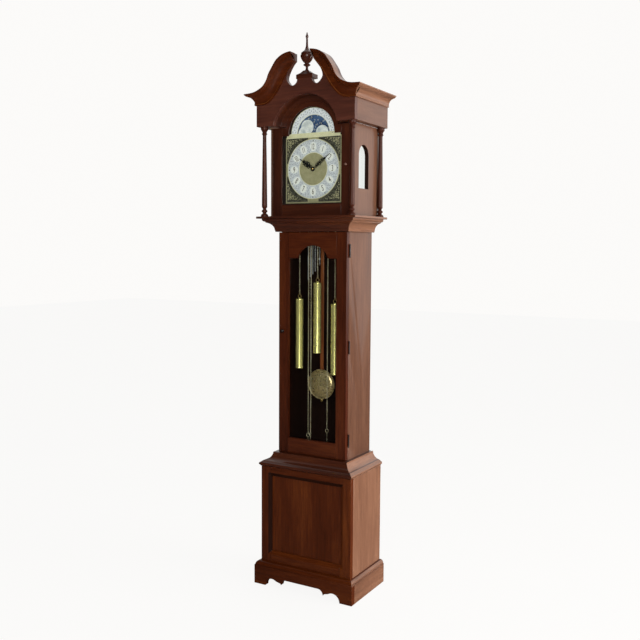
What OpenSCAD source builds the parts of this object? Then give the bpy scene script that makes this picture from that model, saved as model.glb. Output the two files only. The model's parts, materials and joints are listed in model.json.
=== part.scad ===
// Longcase clock with a break-arch hood, swan-neck pediment, three weights and a moon dial.
// Every piece is drawn with Y = 0 at the front face of the waist door, and place() then
// moves it so that the origin is on the floor at the middle of the clock's footprint.

/* [Case] */
// Width of the waist
waist_w = 300; // [250:1:360]
// Depth from the waist door's front face to the back of the case
case_d = 206; // [172:1:248]
// Thickness of the case boards
board_t = 19; // [15:1:22]
// Thickness of the back board
back_t = 10; // [8:1:14]
// Height of the waist between its two mouldings
waist_h = 870; // [725:1:1044]
// Height of the straight part of the base
base_h = 386; // [320:1:464]
// How far the base stands out from the waist at each side
base_step = 51; // [40:1:62]
// How far the base stands out in front of the waist door
base_front_step = 47; // [38:1:56]
// Thickness of the recessed base panel
panel_t = 8; // [6:1:10]
// Width of the plain border around the moulded edge of the base panel
base_border = 32; // [26:1:40]
// Width of the moulded edge around the base panel
base_edge_w = 14.5; // [10:0.5:18]

/* [Plinth] */
// Height of the plinth boards
plinth_h = 72; // [60:1:90]
// Height of the moulding on top of the plinth
plinth_moulding_h = 18; // [14:1:22]
// Thickness of the side plinth boards
plinth_side_t = 19; // [15:1:24]
// Thickness of the front plinth board
plinth_front_t = 23; // [18:1:28]
// Width of each bracket foot
foot_w = 52; // [42:1:62]
// Height of the flat middle of the cut-out between the feet
cutout_h = 36.5; // [30:0.5:42]

/* [Waist mouldings] */
// Height of the moulding between the base and the waist
base_moulding_h = 53; // [44:1:62]
// Height of the moulding between the waist and the hood
hood_base_h = 58; // [48:1:70]

/* [Waist door] */
// Thickness of the waist door
door_t = 20; // [17:1:22]
// Width of the waist door's stiles
door_stile = 43; // [36:1:50]
// Height of the waist door's bottom rail
door_rail = 60; // [50:1:72]
// Height of the door above the shoulders of its glass
door_head = 100; // [84:1:120]
// Half width of the arch in the waist door's glass
door_arch_half = 69; // [58:1:80]
// How far the arch rises above its shoulders
door_arch_rise = 50; // [42:1:58]
// Gap between the waist door and the mouldings above and below it
door_gap = 2; // [1:0.5:3]
// Thickness of the glass panes
glass_t = 3; // [2:0.5:4]
// How far the panes reach behind their frames
glass_lap = 5; // [4:1:7]
// Height of the waist door's knob above the floor
waist_knob_z = 1012; // [900:1:1100]
// Distance of the knob from the edge of the waist
waist_knob_in = 18; // [12:1:26]
// Length of the butt hinges
butt_l = 50; // [40:1:60]
// Radius of the butt hinge barrels
butt_r = 2.75; // [2.5:0.25:3.5]

/* [Hood] */
// Height of the hood's sides and columns
hood_h = 340; // [300:1:400]
// How far the hood's sides stand out from the waist
hood_step = 30.6; // [26:0.2:40]
// Thickness of the hood door
hood_door_t = 16; // [14:1:20]
// Depth of the hood in front of the hood door
hood_front = 52; // [46:1:60]
// Width of the hood door's stiles
hood_stile = 41; // [34:1:48]
// Radius of the hood door's arched head
hood_door_arch = 118; // [110:1:124]
// Width of the frame around the hood door's arched glass
arch_frame = 18; // [14:1:22]
// Half width of the hood's side windows
window_half = 39.5; // [32:0.5:46]
// Radius of the arch cut in the pediment board
hood_arch_r = 141; // [134:1:146]
// Radius of a column's capital and base
column_r = 14.5; // [12:0.5:16]
// Distance from the waist's side to the column axes
column_step = 41; // [38:1:50]

/* [Pediment] */
// Distance from the waist's side to the pediment board's edge
pediment_step = 62.5; // [56:0.5:75]
// Height of the plain frieze below the cornice
frieze_h = 79; // [70:1:95]
// Height of the cornice moulding
cornice_h = 42; // [36:1:50]
// How far the cornice stands out at the sides
cornice_side = 35.5; // [30:0.5:42]
// How far the cornice and swan necks stand out in front
cornice_front = 34; // [28:0.5:40]
// Half of the gap between the ends of the swan necks
neck_gap = 42; // [38:1:50]
// How far the swan necks rise above the cornice
neck_rise = 137; // [115:1:160]
// Half width of the finial's pedestal
pedestal_half = 31; // [26:1:34]
// Height of the finial above its pedestal cap
finial_h = 140; // [118:1:165]

/* [Dial] */
// Width of the dial plate
dial_w = 244; // [220:1:250]
// Height of the hand arbor above the hood's floor
hub_up = 178; // [170:1:186]
// Outer radius of the chapter ring
ring_r = 112.5; // [105:0.5:116]
// Inner radius of the chapter ring
ring_in = 60.5; // [50:0.5:70]
// Thickness of the dial plate
dial_t = 2; // [1.5:0.5:3]
// Radius of the dial's arched top
dial_arch = 99; // [94:1:106]
// Radius of the moon disc
moon_disc_r = 84; // [78:1:86]
// Radius of the two moons' humps
hump_r = 27.5; // [24:0.5:30]
// Number of teeth on the moon disc
moon_teeth = 118; // [118]
// Length of the minute hand
minute_l = 94; // [80:1:100]
// Length of the hour hand
hour_l = 73; // [60:1:80]

/* [Movement] */
// Height of the movement plates
plate_h = 157; // [140:1:170]
// Half width of the movement plates
plate_half = 80; // [74:1:88]
// Thickness of the movement plates
plate_t = 3; // [2:0.5:4]
// Space between the movement plates
plate_space = 37; // [33:1:42]
// Radius of the left chain's pull
left_pull = 20.5; // [18:0.5:22]
// Radius of the centre chain's pull
centre_pull = 14.25; // [12:0.25:15]
// Radius of the right chain's pull
right_pull = 16; // [14:0.5:18]
// Radius of the chains' strands
chain_r = 2.5; // [2:0.25:3]
// Radius of the weights
weight_r = 15.5; // [13:0.5:18]
// Length of the weights
weight_l = 275; // [230:1:330]
// Radius of the pendulum bob
bob_r = 60; // [50:1:70]
// Distance from the suspension to the middle of the bob
bob_drop = 880; // [800:1:900]
// Width of the wooden pendulum rod
rod_w = 14; // [12:1:18]
// Number of chime rods
rod_count = 8; // [5:1:8]

/* [Hidden] */
$fn = 64;
far = 900;                 // longer than the clock is wide or deep, for cuts that run through
gap = 0.3;                 // clearance between pieces that move past each other
joint_line = 0.2;          // width of the mitre lines between moulding strips
run = 0.05;                // radial clearance of a running fit

// levels, from the floor up
base_z = plinth_h + plinth_moulding_h;
base_top = base_z + base_h;
waist_z = base_top + base_moulding_h;
hood_z = waist_z + waist_h;
hood_floor = hood_z + hood_base_h;
frieze_z = hood_floor + hood_h;
cornice_z = frieze_z + frieze_h;
roof_z = cornice_z + cornice_h;
roof_t = 6;
neck_top_z = roof_z + neck_rise;
base_rail_z = base_z - 30;          // bottom of the base front, behind the plinth
base_side_z = 20;                   // bottom of the base sides, behind the plinth
floor_t = 12;

// widths and depths, from the waist's centre and door face
waist_half = waist_w / 2;
base_half = waist_half + base_step;
plinth_half = base_half + plinth_side_t;
hood_half = waist_half + hood_step;
pediment_half = waist_half + pediment_step;
column_x = waist_half + column_step;
base_front = -base_front_step;
plinth_front = base_front - plinth_front_t;
cheek_y = door_t + gap;             // front edge of the waist sides
hood_door_y = -12;                  // front face of the hood door
hood_door_back = hood_door_y + hood_door_t;
pediment_y = hood_door_y - hood_front;
pediment_back = pediment_y + board_t;
cornice_y = pediment_y - cornice_front;
shift_y = -(case_d + cornice_y) / 2;

// doors
door_z = waist_z + door_gap;
door_top = hood_z - door_gap;
door_open_half = waist_half - door_stile;
door_shoulder = door_top - door_head;
door_arch_r = (pow(door_arch_half, 2) + pow(door_arch_rise, 2)) / (2 * door_arch_rise);
door_arch_z = door_shoulder + door_arch_rise - door_arch_r;
hinge_x = waist_half + butt_r + 0.45;
hinge_y = door_t + gap / 2;
butt_zs = [door_z + 48 + butt_l / 2, door_z + 431, door_top - 70];
leaf_t = 1.2;
leaf_w = 17;
hood_strip = 9.1;                   // thickness of the hood side beside the door
hood_door_half = hood_half - hood_strip - 0.5;
hood_open_half = hood_door_half - hood_stile;
hood_door_z = hood_floor + 2;
hood_door_top = frieze_z - 3;
hood_open_z = hood_door_z + 44;
hood_shoulder = hood_floor + 305;
door_head_z = frieze_z - 30;        // centre of the hood door's arch
glass_head_z = door_head_z - 2;     // centre of its glass
hood_arch_z = frieze_z - 33;        // centre of the arch in the pediment board
hood_pin_x = -(hood_door_half + 3);
hood_pin_y = hood_door_y - 10;
hood_pin_r = 2;
strap_t = 1.5;
strap_r = 5;

// dial
hub_z = hood_floor + hub_up;
dial_half = dial_w / 2;
dial_z = hood_floor + 50.5;
dial_top = hood_floor + 300;
dial_head_z = dial_top + 10;        // centre of the dial's arch
dial_y = hood_door_back + 0.5;
moon_z = dial_top;
moon_y = dial_y + dial_t + 1.5;
moon_t = 1.5;
aperture_r = dial_arch - 29;
arch_foot = dial_top + 14;          // bottom of the moon's opening, on top of the bar
hump_x = 38.5;
mask_t = 4;
ring_t = 1.5;
hub_hole = 7;
minute_angle = 54;
hour_angle = 304.5;
minute_y = dial_y - 7;
hour_y = dial_y - 4.5;
hand_t = 1.2;
arbor_r = 3;

// movement
seat_t = 18;
seat_z = hood_floor + 68;
seat_d = 98;
plate_z = seat_z + seat_t;
front_plate_y = dial_y + 17.5;
back_plate_y = front_plate_y + plate_t + plate_space;
chain_y = front_plate_y + plate_t / 2 + plate_space / 2;
sprocket_z = plate_z + 57;
left_x = -60.5;
centre_x = -centre_pull;
right_x = 61.5;
swing_z = plate_z + 138.7;          // height of the pendulum's and the pallets' axis
swing_y = back_plate_y + 18;        // plane of the pendulum rod
rod_t = 5;
weight_left_z = waist_z + 335;
weight_centre_z = waist_z + 400;
weight_right_z = waist_z + 320.5;
hook_r = 7;
hook_wire = 1.6;
hook_up = 9;
hook_top = hook_up + hook_r + hook_wire;
ring_left_z = waist_z + 71;
ring_centre_z = waist_z + 41;
ring_right_z = waist_z + 98;
pull_ring_r = 6.5;
pull_wire = 1.5;
chime_y = case_d - 34;
chime_x = -120;
chime_pitch = 10.7;
chime_r = 2;
chime_block_z = seat_z - 28;
hammer_z = plate_z + 17;
hammer_y = chime_y - 12;

// colours
mahogany = [0.30, 0.11, 0.06];
rosy = [0.62, 0.33, 0.26];
amber = [0.72, 0.36, 0.16];
brass = [0.83, 0.66, 0.33];
steel = [0.55, 0.56, 0.58];
black = [0.06, 0.06, 0.07];
pane = [0.8, 0.9, 0.9, 0.3];

// ---------- outlines ----------

function arc(x, y, r, from, to, n) =
    [for (i = [0:n]) let (a = from + (to - from) * i / n) [x + r * cos(a), y + r * sin(a)]];

function spline_point(a, b, c, d, t) =
    (2 * b + (c - a) * t + (2 * a - 5 * b + 4 * c - d) * t * t
        + (3 * b - a - 3 * c + d) * t * t * t) / 2;

// a smooth curve through the points, with n steps between each two
function curve(p, n) = concat(
    [for (i = [0:len(p) - 2], k = [0:n - 1])
        spline_point(p[max(i - 1, 0)], p[i], p[i + 1], p[min(i + 2, len(p) - 1)], k / n)],
    [p[len(p) - 1]]);

function mirrored(p) = concat(p, [for (i = [len(p) - 1:-1:0]) [-p[i][0], p[i][1]]]);

// profiles are [how far out, height] from the bottom up
plinth_profile = concat([[plinth_side_t, plinth_h], [plinth_side_t, plinth_h + 3]],
    arc(0, plinth_h + 3, plinth_side_t - 2, 0, 60, 6), [[2, base_z]]);

base_moulding_profile = concat([[base_step, base_top], [base_step + 4, base_top + 5]],
    arc(base_step, base_top + 9, 6.5, -30, 80, 6),
    [[base_step - 3, base_top + 19]],
    arc(base_step - 2, waist_z + 1, 33, 262, 182, 8),
    [[9, waist_z - 2], [2, waist_z]]);

hood_base_out = hood_step + 35.4;     // how far the hood's floor moulding stands out at the sides
hood_base_front = hood_front + 11;    // and at the front
hood_base_profile = concat([[11, hood_z], [12, hood_z + 6]],
    arc(42, hood_z + 6, 29, 180, 115, 7),
    [[40, hood_z + 36], [40, hood_z + 39]],
    arc(42, hood_z + 47, 8, -80, 20, 6),
    [[hood_base_out - 14, hood_floor - 8], [hood_base_out, hood_floor - 8], [hood_base_out, hood_floor]]);

// the cornice and the swan necks share one section, as shares of its height and projection
cornice_profile = concat([[0, 0], [0, 0.14], [0.08, 0.17], [0.13, 0.12]],
    [for (a = [0:15:75]) [0.18 + 0.57 * sin(a), 0.14 + 0.6 * (1 - cos(a))]],
    [[0.76, 0.74], [0.8, 0.86], [0.88, 0.94], [0.9, 1], [1, 1]]);

// the swan neck's lower and upper edges, as shares of its reach and of its rise
neck_low = [[1, 0], [0.87, 0], [0.75, 0.01], [0.62, 0.08], [0.52, 0.19], [0.44, 0.29],
    [0.34, 0.46], [0.26, 0.61], [0.18, 0.75], [0.08, 0.89], [0, 1]];
neck_top = [[1, 0], [0.84, 0.01], [0.71, 0.06], [0.59, 0.16], [0.51, 0.31], [0.46, 0.48],
    [0.38, 0.66], [0.3, 0.82], [0.19, 0.93], [0.09, 0.98], [0, 1]];
neck_steps = 3;
neck_end_h = 29;                    // height of the swan neck's cut end
low_reach = pediment_half - neck_gap;
low_rise = neck_top_z - neck_end_h - cornice_z;
top_reach = low_reach + cornice_side;
low_rail = [for (p = curve(neck_low, neck_steps))
    [neck_gap + p[0] * low_reach, cornice_z + p[1] * low_rise]];
top_rail = [for (p = curve(neck_top, neck_steps))
    [neck_gap + p[0] * top_reach, roof_z + p[1] * neck_rise]];

pedestal_z = roof_z + 42;
cap_z = pedestal_z + 15;
finial_z = cap_z + 15;

// ---------- helpers ----------

module place() translate([0, shift_y, 0]) children();

module both_sides() {
    children();
    mirror([1, 0, 0]) children();
}

// an outline in X and Z, extruded back from depth y
module slab(y, t) translate([0, y + t, 0]) rotate([90, 0, 0]) linear_extrude(t) children();

// an outline in Y and Z, extruded along X from x
module side_slab(x, t) translate([x, 0, 0]) rotate([90, 0, 90]) linear_extrude(t) children();

module box(x0, x1, y0, y1, z0, z1) translate([x0, y0, z0]) cube([x1 - x0, y1 - y0, z1 - z0]);

module rect(x0, x1, z0, z1) translate([x0, z0]) square([x1 - x0, z1 - z0]);

// a pin along Y
module pin_y(x, z, r, y0, y1) translate([x, y1, z]) rotate([90, 0, 0]) cylinder(r = r, h = y1 - y0);

// the plan of a front strip, which ends on the two mitre lines
module mitre_plan(half, front, share, grow) {
    translate([0, 0, -1]) linear_extrude(far * 3) polygon(mirrored([
        [half + grow - 100, front + 100 * share], [half + grow + 100, front - 100 * share]]));
}

// three mitred strips around the front and sides of the case; share is how far the front
// strip stands out for each unit that the side strips do
module mitred_strips(profile, half, front, share, inner_half, inner_y) {
    low = profile[0][1];
    high = profile[len(profile) - 1][1];
    intersection() {
        side_slab(-far, 2 * far) polygon(concat([for (p = profile) [front - p[0] * share, p[1]]],
            [[inner_y, high], [inner_y, low]]));
        mitre_plan(half, front, share, 0);
    }
    both_sides() difference() {
        slab(front - 90 * share, case_d - front + 90 * share) polygon(concat(
            [for (p = profile) [half + p[0], p[1]]], [[inner_half, high], [inner_half, low]]));
        mitre_plan(half, front, share, joint_line);
    }
}

// glass outline of the waist door, grown by g
module waist_glass_outline(g) {
    rect(-door_open_half - g, door_open_half + g, door_z + door_rail - g, door_shoulder + g);
    intersection() {
        translate([0, door_arch_z]) circle(door_arch_r + g);
        rect(-door_arch_half - g, door_arch_half + g, door_arch_z, door_top);
    }
}

// glass outline of the hood door, grown by g
module hood_glass_outline(g) {
    rect(-hood_open_half - g, hood_open_half + g, hood_open_z - g, hood_shoulder + g);
    translate([0, glass_head_z]) circle(hood_door_arch - arch_frame + g);
}

module hood_door_outline() {
    rect(-hood_door_half, hood_door_half, hood_door_z, hood_door_top);
    translate([0, door_head_z]) circle(hood_door_arch);
}

module dial_outline(g) {
    rect(-dial_half - g, dial_half + g, dial_z - g, dial_top + g);
    rect(-dial_arch - g, dial_arch + g, dial_z, dial_head_z);
    translate([0, dial_head_z]) circle(dial_arch + g);
}

module window_outline(g) {
    middle = (case_d + pediment_y) / 2;
    spring = frieze_z - 115;
    rect(middle - window_half - g, middle + window_half + g, hood_floor + 103 - g, spring);
    translate([middle, spring]) circle(window_half + g);
}

// ---------- plinth and base ----------

foot_lobe_r = 31;
cusp_r = 22;

module foot_cutout() {
    foot_x = plinth_half - foot_w;
    cusp_x = foot_x - 73;
    both_sides() {
        intersection() {
            translate([foot_x - foot_lobe_r, 0]) circle(foot_lobe_r);
            rect(0, foot_x, -1, plinth_h);
        }
        polygon([[cusp_x, -1], [cusp_x, cutout_h - 17], [cusp_x + 27, cutout_h - 10.5],
            [foot_x - foot_lobe_r, foot_lobe_r], [foot_x - foot_lobe_r, -1]]);
        translate([cusp_x - cusp_r, cutout_h - cusp_r]) circle(cusp_r);
        rect(-1, cusp_x - cusp_r, -1, cutout_h);
        rect(-1, cusp_x + 1, -1, cutout_h - cusp_r);
    }
}

module plinth_boards() color(mahogany) place() {
    slab(plinth_front, plinth_front_t) difference() {
        rect(-plinth_half, plinth_half, 0, plinth_h);
        foot_cutout();
    }
    both_sides() box(base_half, plinth_half, base_front + joint_line, case_d, 0, plinth_h);
}

module plinth_moulding() color(mahogany) place()
    mitred_strips(plinth_profile, base_half, base_front, plinth_front_t / plinth_side_t,
        base_half, base_front);

module base_floor() color(amber) place()
    box(-base_half + board_t, base_half - board_t, base_front + door_t, case_d - back_t,
        base_z + 5, base_z + 5 + floor_t);

base_open_half = base_half - base_border - base_edge_w;
base_open_z = base_z + 31 + base_edge_w;
base_open_top = base_top - 24 - base_edge_w;

module base_front_frame() color(amber) place() {
    front = base_front;
    depth = door_t - panel_t;
    lap = 8;
    difference() {
        box(-base_half, base_half, front, front + door_t, base_rail_z, base_top);
        box(-base_open_half, base_open_half, front - 1, front + door_t + 1,
            base_open_z, base_open_top);
        box(-base_open_half - lap, base_open_half + lap, front + depth, front + door_t + 1,
            base_open_z - lap, base_open_top + lap);
        // the moulded slope around the panel, mitred at its corners
        intersection() {
            translate([0, 0, base_rail_z]) linear_extrude(far) polygon(mirrored([
                [base_open_half + base_edge_w, front - 1], [base_open_half + base_edge_w, front],
                [base_open_half + base_edge_w - 4, front + 3], [base_open_half, front + 9],
                [base_open_half, front + depth - 1]]));
            side_slab(-far, 2 * far) polygon([
                [front - 1, base_open_z - base_edge_w], [front, base_open_z - base_edge_w],
                [front + 3, base_open_z - base_edge_w + 4], [front + 9, base_open_z],
                [front + depth - 1, base_open_z], [front + depth - 1, base_open_top],
                [front + 9, base_open_top], [front + 3, base_open_top + base_edge_w - 4],
                [front, base_open_top + base_edge_w], [front - 1, base_open_top + base_edge_w]]);
        }
    }
}

module base_panel() color(amber) place()
    box(-base_open_half - 8, base_open_half + 8, base_front + door_t - panel_t,
        base_front + door_t, base_open_z - 8, base_open_top + 8);

module base_sides() color(rosy) place() both_sides()
    box(base_half - board_t, base_half, base_front + door_t, case_d, base_side_z, base_top);

module base_top_moulding() color(mahogany) place()
    mitred_strips(base_moulding_profile, waist_half, 0, 1, waist_half, door_t);

waist_foot_z = base_top - 36;       // lower ends of the waist sides, inside the base

module backboard() color(rosy) place()
    slab(case_d - back_t, back_t) {
        difference() {
            rect(-base_half + board_t, base_half - board_t, base_side_z, base_top);
            both_sides() rect(waist_half - board_t, waist_half, waist_foot_z, base_top + 1);
        }
        rect(-waist_half + board_t, waist_half - board_t, base_top, seat_z);
    }

// ---------- waist ----------

module leaf_pockets() for (z = butt_zs)
    box(waist_half - leaf_w, waist_half + 1, hinge_y - gap / 2 - leaf_t, hinge_y + gap / 2 + leaf_t,
        z - butt_l / 2, z + butt_l / 2);

module waist_sides() color(rosy) place() difference() {
    both_sides() box(waist_half - board_t, waist_half, cheek_y, case_d, waist_foot_z, seat_z);
    leaf_pockets();
}

module waist_door() color(mahogany) place() difference() {
    box(-waist_half, waist_half, 0, door_t, door_z, door_top);
    slab(-1, door_t + 2) waist_glass_outline(0);
    slab(door_t - 7, 8) waist_glass_outline(glass_lap);
    leaf_pockets();
}

module waist_door_glass() color(pane) place()
    slab(door_t - 7, glass_t) waist_glass_outline(glass_lap);

// a turned knob that stands out towards -Y
module turned_knob(x, y, z, r, l) translate([x, y, z]) rotate([90, 0, 0]) rotate_extrude()
    polygon(concat([[0, 0], [r * 0.55, 0], [r * 0.4, l * 0.35]],
        arc(0, l - r * 0.75, r, -25, 55, 6), [[0, l]]));

module waist_door_knob() color(black) place()
    turned_knob(-waist_half + waist_knob_in, 0, waist_knob_z, 7, 14);

// one butt hinge's leaf and knuckles; the case half carries the pin
module butt_half(z, case_half) {
    third = butt_l / 3;
    leaf_y = case_half ? hinge_y + gap / 2 : hinge_y - gap / 2 - leaf_t;
    module knuckle(from, to) {
        translate([hinge_x, hinge_y, from]) cylinder(r = butt_r, h = to - from);
        box(waist_half - 1, hinge_x, leaf_y, leaf_y + leaf_t, from, to);
    }
    low = z - butt_l / 2;
    box(waist_half - leaf_w, waist_half, leaf_y, leaf_y + leaf_t, low, low + butt_l);
    if (case_half) {
        knuckle(low, low + third);
        knuckle(low + 2 * third, low + butt_l);
        translate([hinge_x, hinge_y, low]) cylinder(r = butt_r / 2, h = butt_l);
    } else difference() {
        knuckle(low + third + gap, low + 2 * third - gap);
        translate([hinge_x, hinge_y, low]) cylinder(r = butt_r / 2 + run, h = butt_l);
    }
}

module waist_hinges_case() color(black) place() for (z = butt_zs) butt_half(z, true);

module waist_hinges_door() color(black) place() for (z = butt_zs) butt_half(z, false);

// ---------- hood ----------

module hood_base() color(mahogany) place()
    mitred_strips(hood_base_profile, waist_half, 0, hood_base_front / hood_base_out, waist_half, door_t);

module hood_sides() color(rosy) place() both_sides() difference() {
    box(hood_half - board_t, hood_half, hood_door_y, case_d, hood_floor, frieze_z);
    box(0, hood_half - hood_strip, -far, hood_door_back + gap, 0, 3 * far);
    side_slab(0, far) window_outline(0);
    side_slab(hood_half - board_t - 1, glass_t + 1) window_outline(glass_lap);
}

module side_window_glass() color(pane) place() both_sides()
    side_slab(hood_half - board_t, glass_t) window_outline(glass_lap);

// a tapered column between two turned ends
module column() rotate_extrude() polygon(concat(
    [[0, hood_floor], [column_r, hood_floor], [column_r, hood_floor + 4],
        [column_r - 2, hood_floor + 8], [column_r - 8, hood_floor + 13]],
    arc(column_r - 8, hood_floor + 21, 5, -70, 70, 4),
    [[column_r - 8.7, hood_floor + 29], [column_r - 4, hood_floor + 37],
        [column_r - 4.2, hood_floor + 64], [column_r - 5.6, hood_floor + hood_h * 0.53],
        [column_r - 7.4, frieze_z - 47], [column_r - 7.4, frieze_z - 30]],
    arc(column_r - 7, frieze_z - 25, 3, -60, 60, 4),
    [[column_r - 6.8, frieze_z - 21], [column_r - 3.7, frieze_z - 13],
        [column_r, frieze_z - 9], [column_r, frieze_z], [0, frieze_z]]));

module columns() color(mahogany) place() both_sides() {
    translate([column_x, pediment_y + 23, 0]) column();
    difference() {
        translate([column_x, case_d - column_r, 0]) column();
        box(0, hood_half, 0, case_d + 1, 0, 3 * far);
    }
}

lining_t = 6;
soffit_t = 12;
frieze_t = 15;

module hood_soffit() color(mahogany) place() {
    difference() {
        box(-pediment_half + frieze_t, pediment_half - frieze_t, pediment_back, case_d,
            frieze_z, frieze_z + soffit_t);
        box(-hood_half, hood_half, hood_door_y, case_d + 1, 0, 3 * far);
        slab(-far, 2 * far) translate([0, hood_arch_z]) circle(hood_arch_r);
    }
    slab(pediment_back, hood_door_y - pediment_back) difference() {
        translate([0, hood_arch_z]) circle(hood_arch_r + lining_t);
        translate([0, hood_arch_z]) circle(hood_arch_r);
        rect(-far, far, 0, frieze_z);
    }
    slab(hood_door_y, hood_door_t) difference() {
        rect(-hood_half, hood_half, frieze_z, roof_z - roof_t);
        translate([0, door_head_z]) circle(hood_door_arch + 0.6);
    }
}

// the curved cut-out beside the finial's pedestal, from the neck's end down and up again
pedestal_cut = [[neck_gap, neck_top_z - neck_end_h], [neck_gap + 12, neck_top_z - 41],
    [neck_gap + 26, neck_top_z - 63], [neck_gap + 33, neck_top_z - 79],
    [neck_gap + 35, pedestal_z + 2], [neck_gap + 28, pedestal_z - 10],
    [neck_gap + 18, pedestal_z - 20], [neck_gap + 8, pedestal_z - 22],
    [pedestal_half + 8, pedestal_z - 17], [pedestal_half + 2, pedestal_z - 9],
    [pedestal_half, pedestal_z]];

module pediment_board() color(mahogany) place() slab(pediment_y, board_t) difference() {
    polygon(mirrored(concat([[pediment_half, frieze_z], [pediment_half, roof_z - 1]],
        [for (p = top_rail) if (p[0] < pediment_half - 4) [p[0], p[1] - 1]],
        curve(pedestal_cut, 2))));
    translate([0, hood_arch_z]) circle(hood_arch_r);
}

module frieze_sides() color(rosy) place() both_sides()
    box(pediment_half - frieze_t, pediment_half, pediment_back, case_d, frieze_z, roof_z - roof_t);

module hood_roof() color(rosy) place()
    box(-pediment_half, pediment_half, pediment_back, case_d, roof_z - roof_t, roof_z);

// points of one section of the swan neck; the first section lies on the mitre
function neck_ring(i) = [for (p = concat(cornice_profile, [[1, 0]]))
    i == 0 ? [pediment_half + cornice_side * p[1], pediment_y - cornice_front * p[1],
        cornice_z + cornice_h * p[0]]
    : [low_rail[i][0] + (top_rail[i][0] - low_rail[i][0]) * p[0],
        pediment_y - cornice_front * p[1],
        low_rail[i][1] + (top_rail[i][1] - low_rail[i][1]) * p[0]]];

module swan_neck() {
    rings = len(low_rail);
    n = len(cornice_profile) + 1;
    polyhedron(
        points = [for (i = [0:rings - 1]) each neck_ring(i)],
        faces = concat(
            [[for (j = [n - 1:-1:0]) j]],
            [[for (j = [0:n - 1]) (rings - 1) * n + j]],
            [for (i = [0:rings - 2], j = [0:n - 1]) let (k = (j + 1) % n)
                [i * n + j, i * n + k, (i + 1) * n + j]],
            [for (i = [0:rings - 2], j = [0:n - 1]) let (k = (j + 1) % n)
                [i * n + k, (i + 1) * n + k, (i + 1) * n + j]]),
        convexity = 6);
}

module swan_necks() color(mahogany) place() both_sides() swan_neck();

module cornice_returns() color(mahogany) place() both_sides() intersection() {
    slab(cornice_y, case_d - cornice_y) polygon(concat(
        [for (p = cornice_profile) [pediment_half + cornice_side * p[1], cornice_z + cornice_h * p[0]]],
        [[pediment_half, roof_z]]));
    linear_extrude(3 * far) polygon([[pediment_half - 1, pediment_y + joint_line],
        [pediment_half, pediment_y + joint_line],
        [pediment_half + 2 * cornice_side, pediment_y - 2 * cornice_front + joint_line],
        [pediment_half + 2 * cornice_side, case_d], [pediment_half - 1, case_d]]);
}

cap_half = pedestal_half + 4;
cap_depth = 20;
finial_y = pediment_y + board_t;
finial_foot = 10;

module pedestal_cap() color(mahogany) place() {
    box(-cap_half, cap_half, finial_y - cap_depth, finial_y + cap_depth, pedestal_z, cap_z);
    intersection() {
        slab(-far, 2 * far) polygon(mirrored([[cap_half, cap_z], [cap_half * 0.6, cap_z + 6],
            [finial_foot, finial_z]]));
        side_slab(-far, 2 * far) polygon([[finial_y - cap_depth, cap_z],
            [finial_y - cap_depth * 0.7, cap_z + 6], [finial_y - finial_foot, finial_z],
            [finial_y + finial_foot, finial_z], [finial_y + cap_depth * 0.7, cap_z + 6],
            [finial_y + cap_depth, cap_z]]);
    }
}

module finial() color(mahogany) place() translate([0, finial_y, finial_z])
    rotate_extrude() polygon(concat([[0, 0], [finial_foot, 0], [3.7, 7]],
        arc(9.6, 20, 4.2, -70, 60, 4),
        curve([[13.5, finial_h * 0.19], [22, finial_h * 0.28], [24.4, finial_h * 0.36],
            [21.2, finial_h * 0.44], [12.9, finial_h * 0.52], [5.5, finial_h * 0.6],
            [3.3, finial_h * 0.75]], 3),
        arc(0, finial_h * 0.88, 4.6, -40, 60, 4), [[1.5, finial_h - 6], [0, finial_h]]));

module seat_board() color(amber) place() difference() {
    box(-waist_half, waist_half, dial_y + 8, dial_y + 8 + seat_d, seat_z, seat_z + seat_t);
    for (x = [left_x - left_pull, left_x + left_pull, centre_x + centre_pull,
            centre_x - centre_pull, right_x - right_pull, right_x + right_pull])
        box(x - 6, x + 6, chain_y - 9, chain_y + 9, 0, 3 * far);
    box(-22, 22, swing_y - 11, far, 0, 3 * far);
}

module hood_strap_outline() {
    difference() {
        union() {
            translate([hood_pin_x, hood_pin_y]) circle(strap_r);
            polygon([[hood_pin_x - 4, hood_pin_y - 2], [hood_pin_x + 4, hood_pin_y - 4],
                [-hood_door_half + 22, hood_door_y], [-hood_door_half + 22, hood_door_back],
                [-hood_door_half, hood_door_back], [-hood_door_half, hood_door_y - 0.4]]);
        }
        translate([hood_pin_x, hood_pin_y]) circle(hood_pin_r + run);
    }
}

module hood_door() color(mahogany) place() difference() {
    slab(hood_door_y, hood_door_t) hood_door_outline();
    slab(hood_door_y - 1, hood_door_t + 2) hood_glass_outline(0);
    slab(hood_door_y + 3.5, hood_door_t) hood_glass_outline(glass_lap);
}

module hood_door_glass() color(pane) place()
    slab(hood_door_y + 3.5, glass_t) hood_glass_outline(glass_lap);

module hood_door_fittings() color(brass) place() {
    turned_knob(hood_door_half - 19.4, hood_door_y, hub_z + 9, 5, 13);
    translate([0, 0, hood_door_z - strap_t]) linear_extrude(strap_t) hood_strap_outline();
    translate([0, 0, hood_door_top]) linear_extrude(strap_t) hood_strap_outline();
}

module hood_hinge_pins() color(brass) place() translate([hood_pin_x, hood_pin_y, 0]) {
    translate([0, 0, hood_floor]) cylinder(r = hood_pin_r, h = 3.5);
    translate([0, 0, frieze_z - 4.5]) cylinder(r = hood_pin_r, h = 4.5);
}

// ---------- dial ----------

module dial_mask() color(black) place() slab(dial_y, mask_t) difference() {
    rect(-hood_half + board_t + 0.5, hood_half - board_t - 0.5, hood_floor + 0.5, roof_z - 28);
    dial_outline(gap);
}

module aperture() intersection() {
    translate([0, dial_head_z]) circle(aperture_r);
    rect(-far, far, arch_foot, 3 * far);
}

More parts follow.
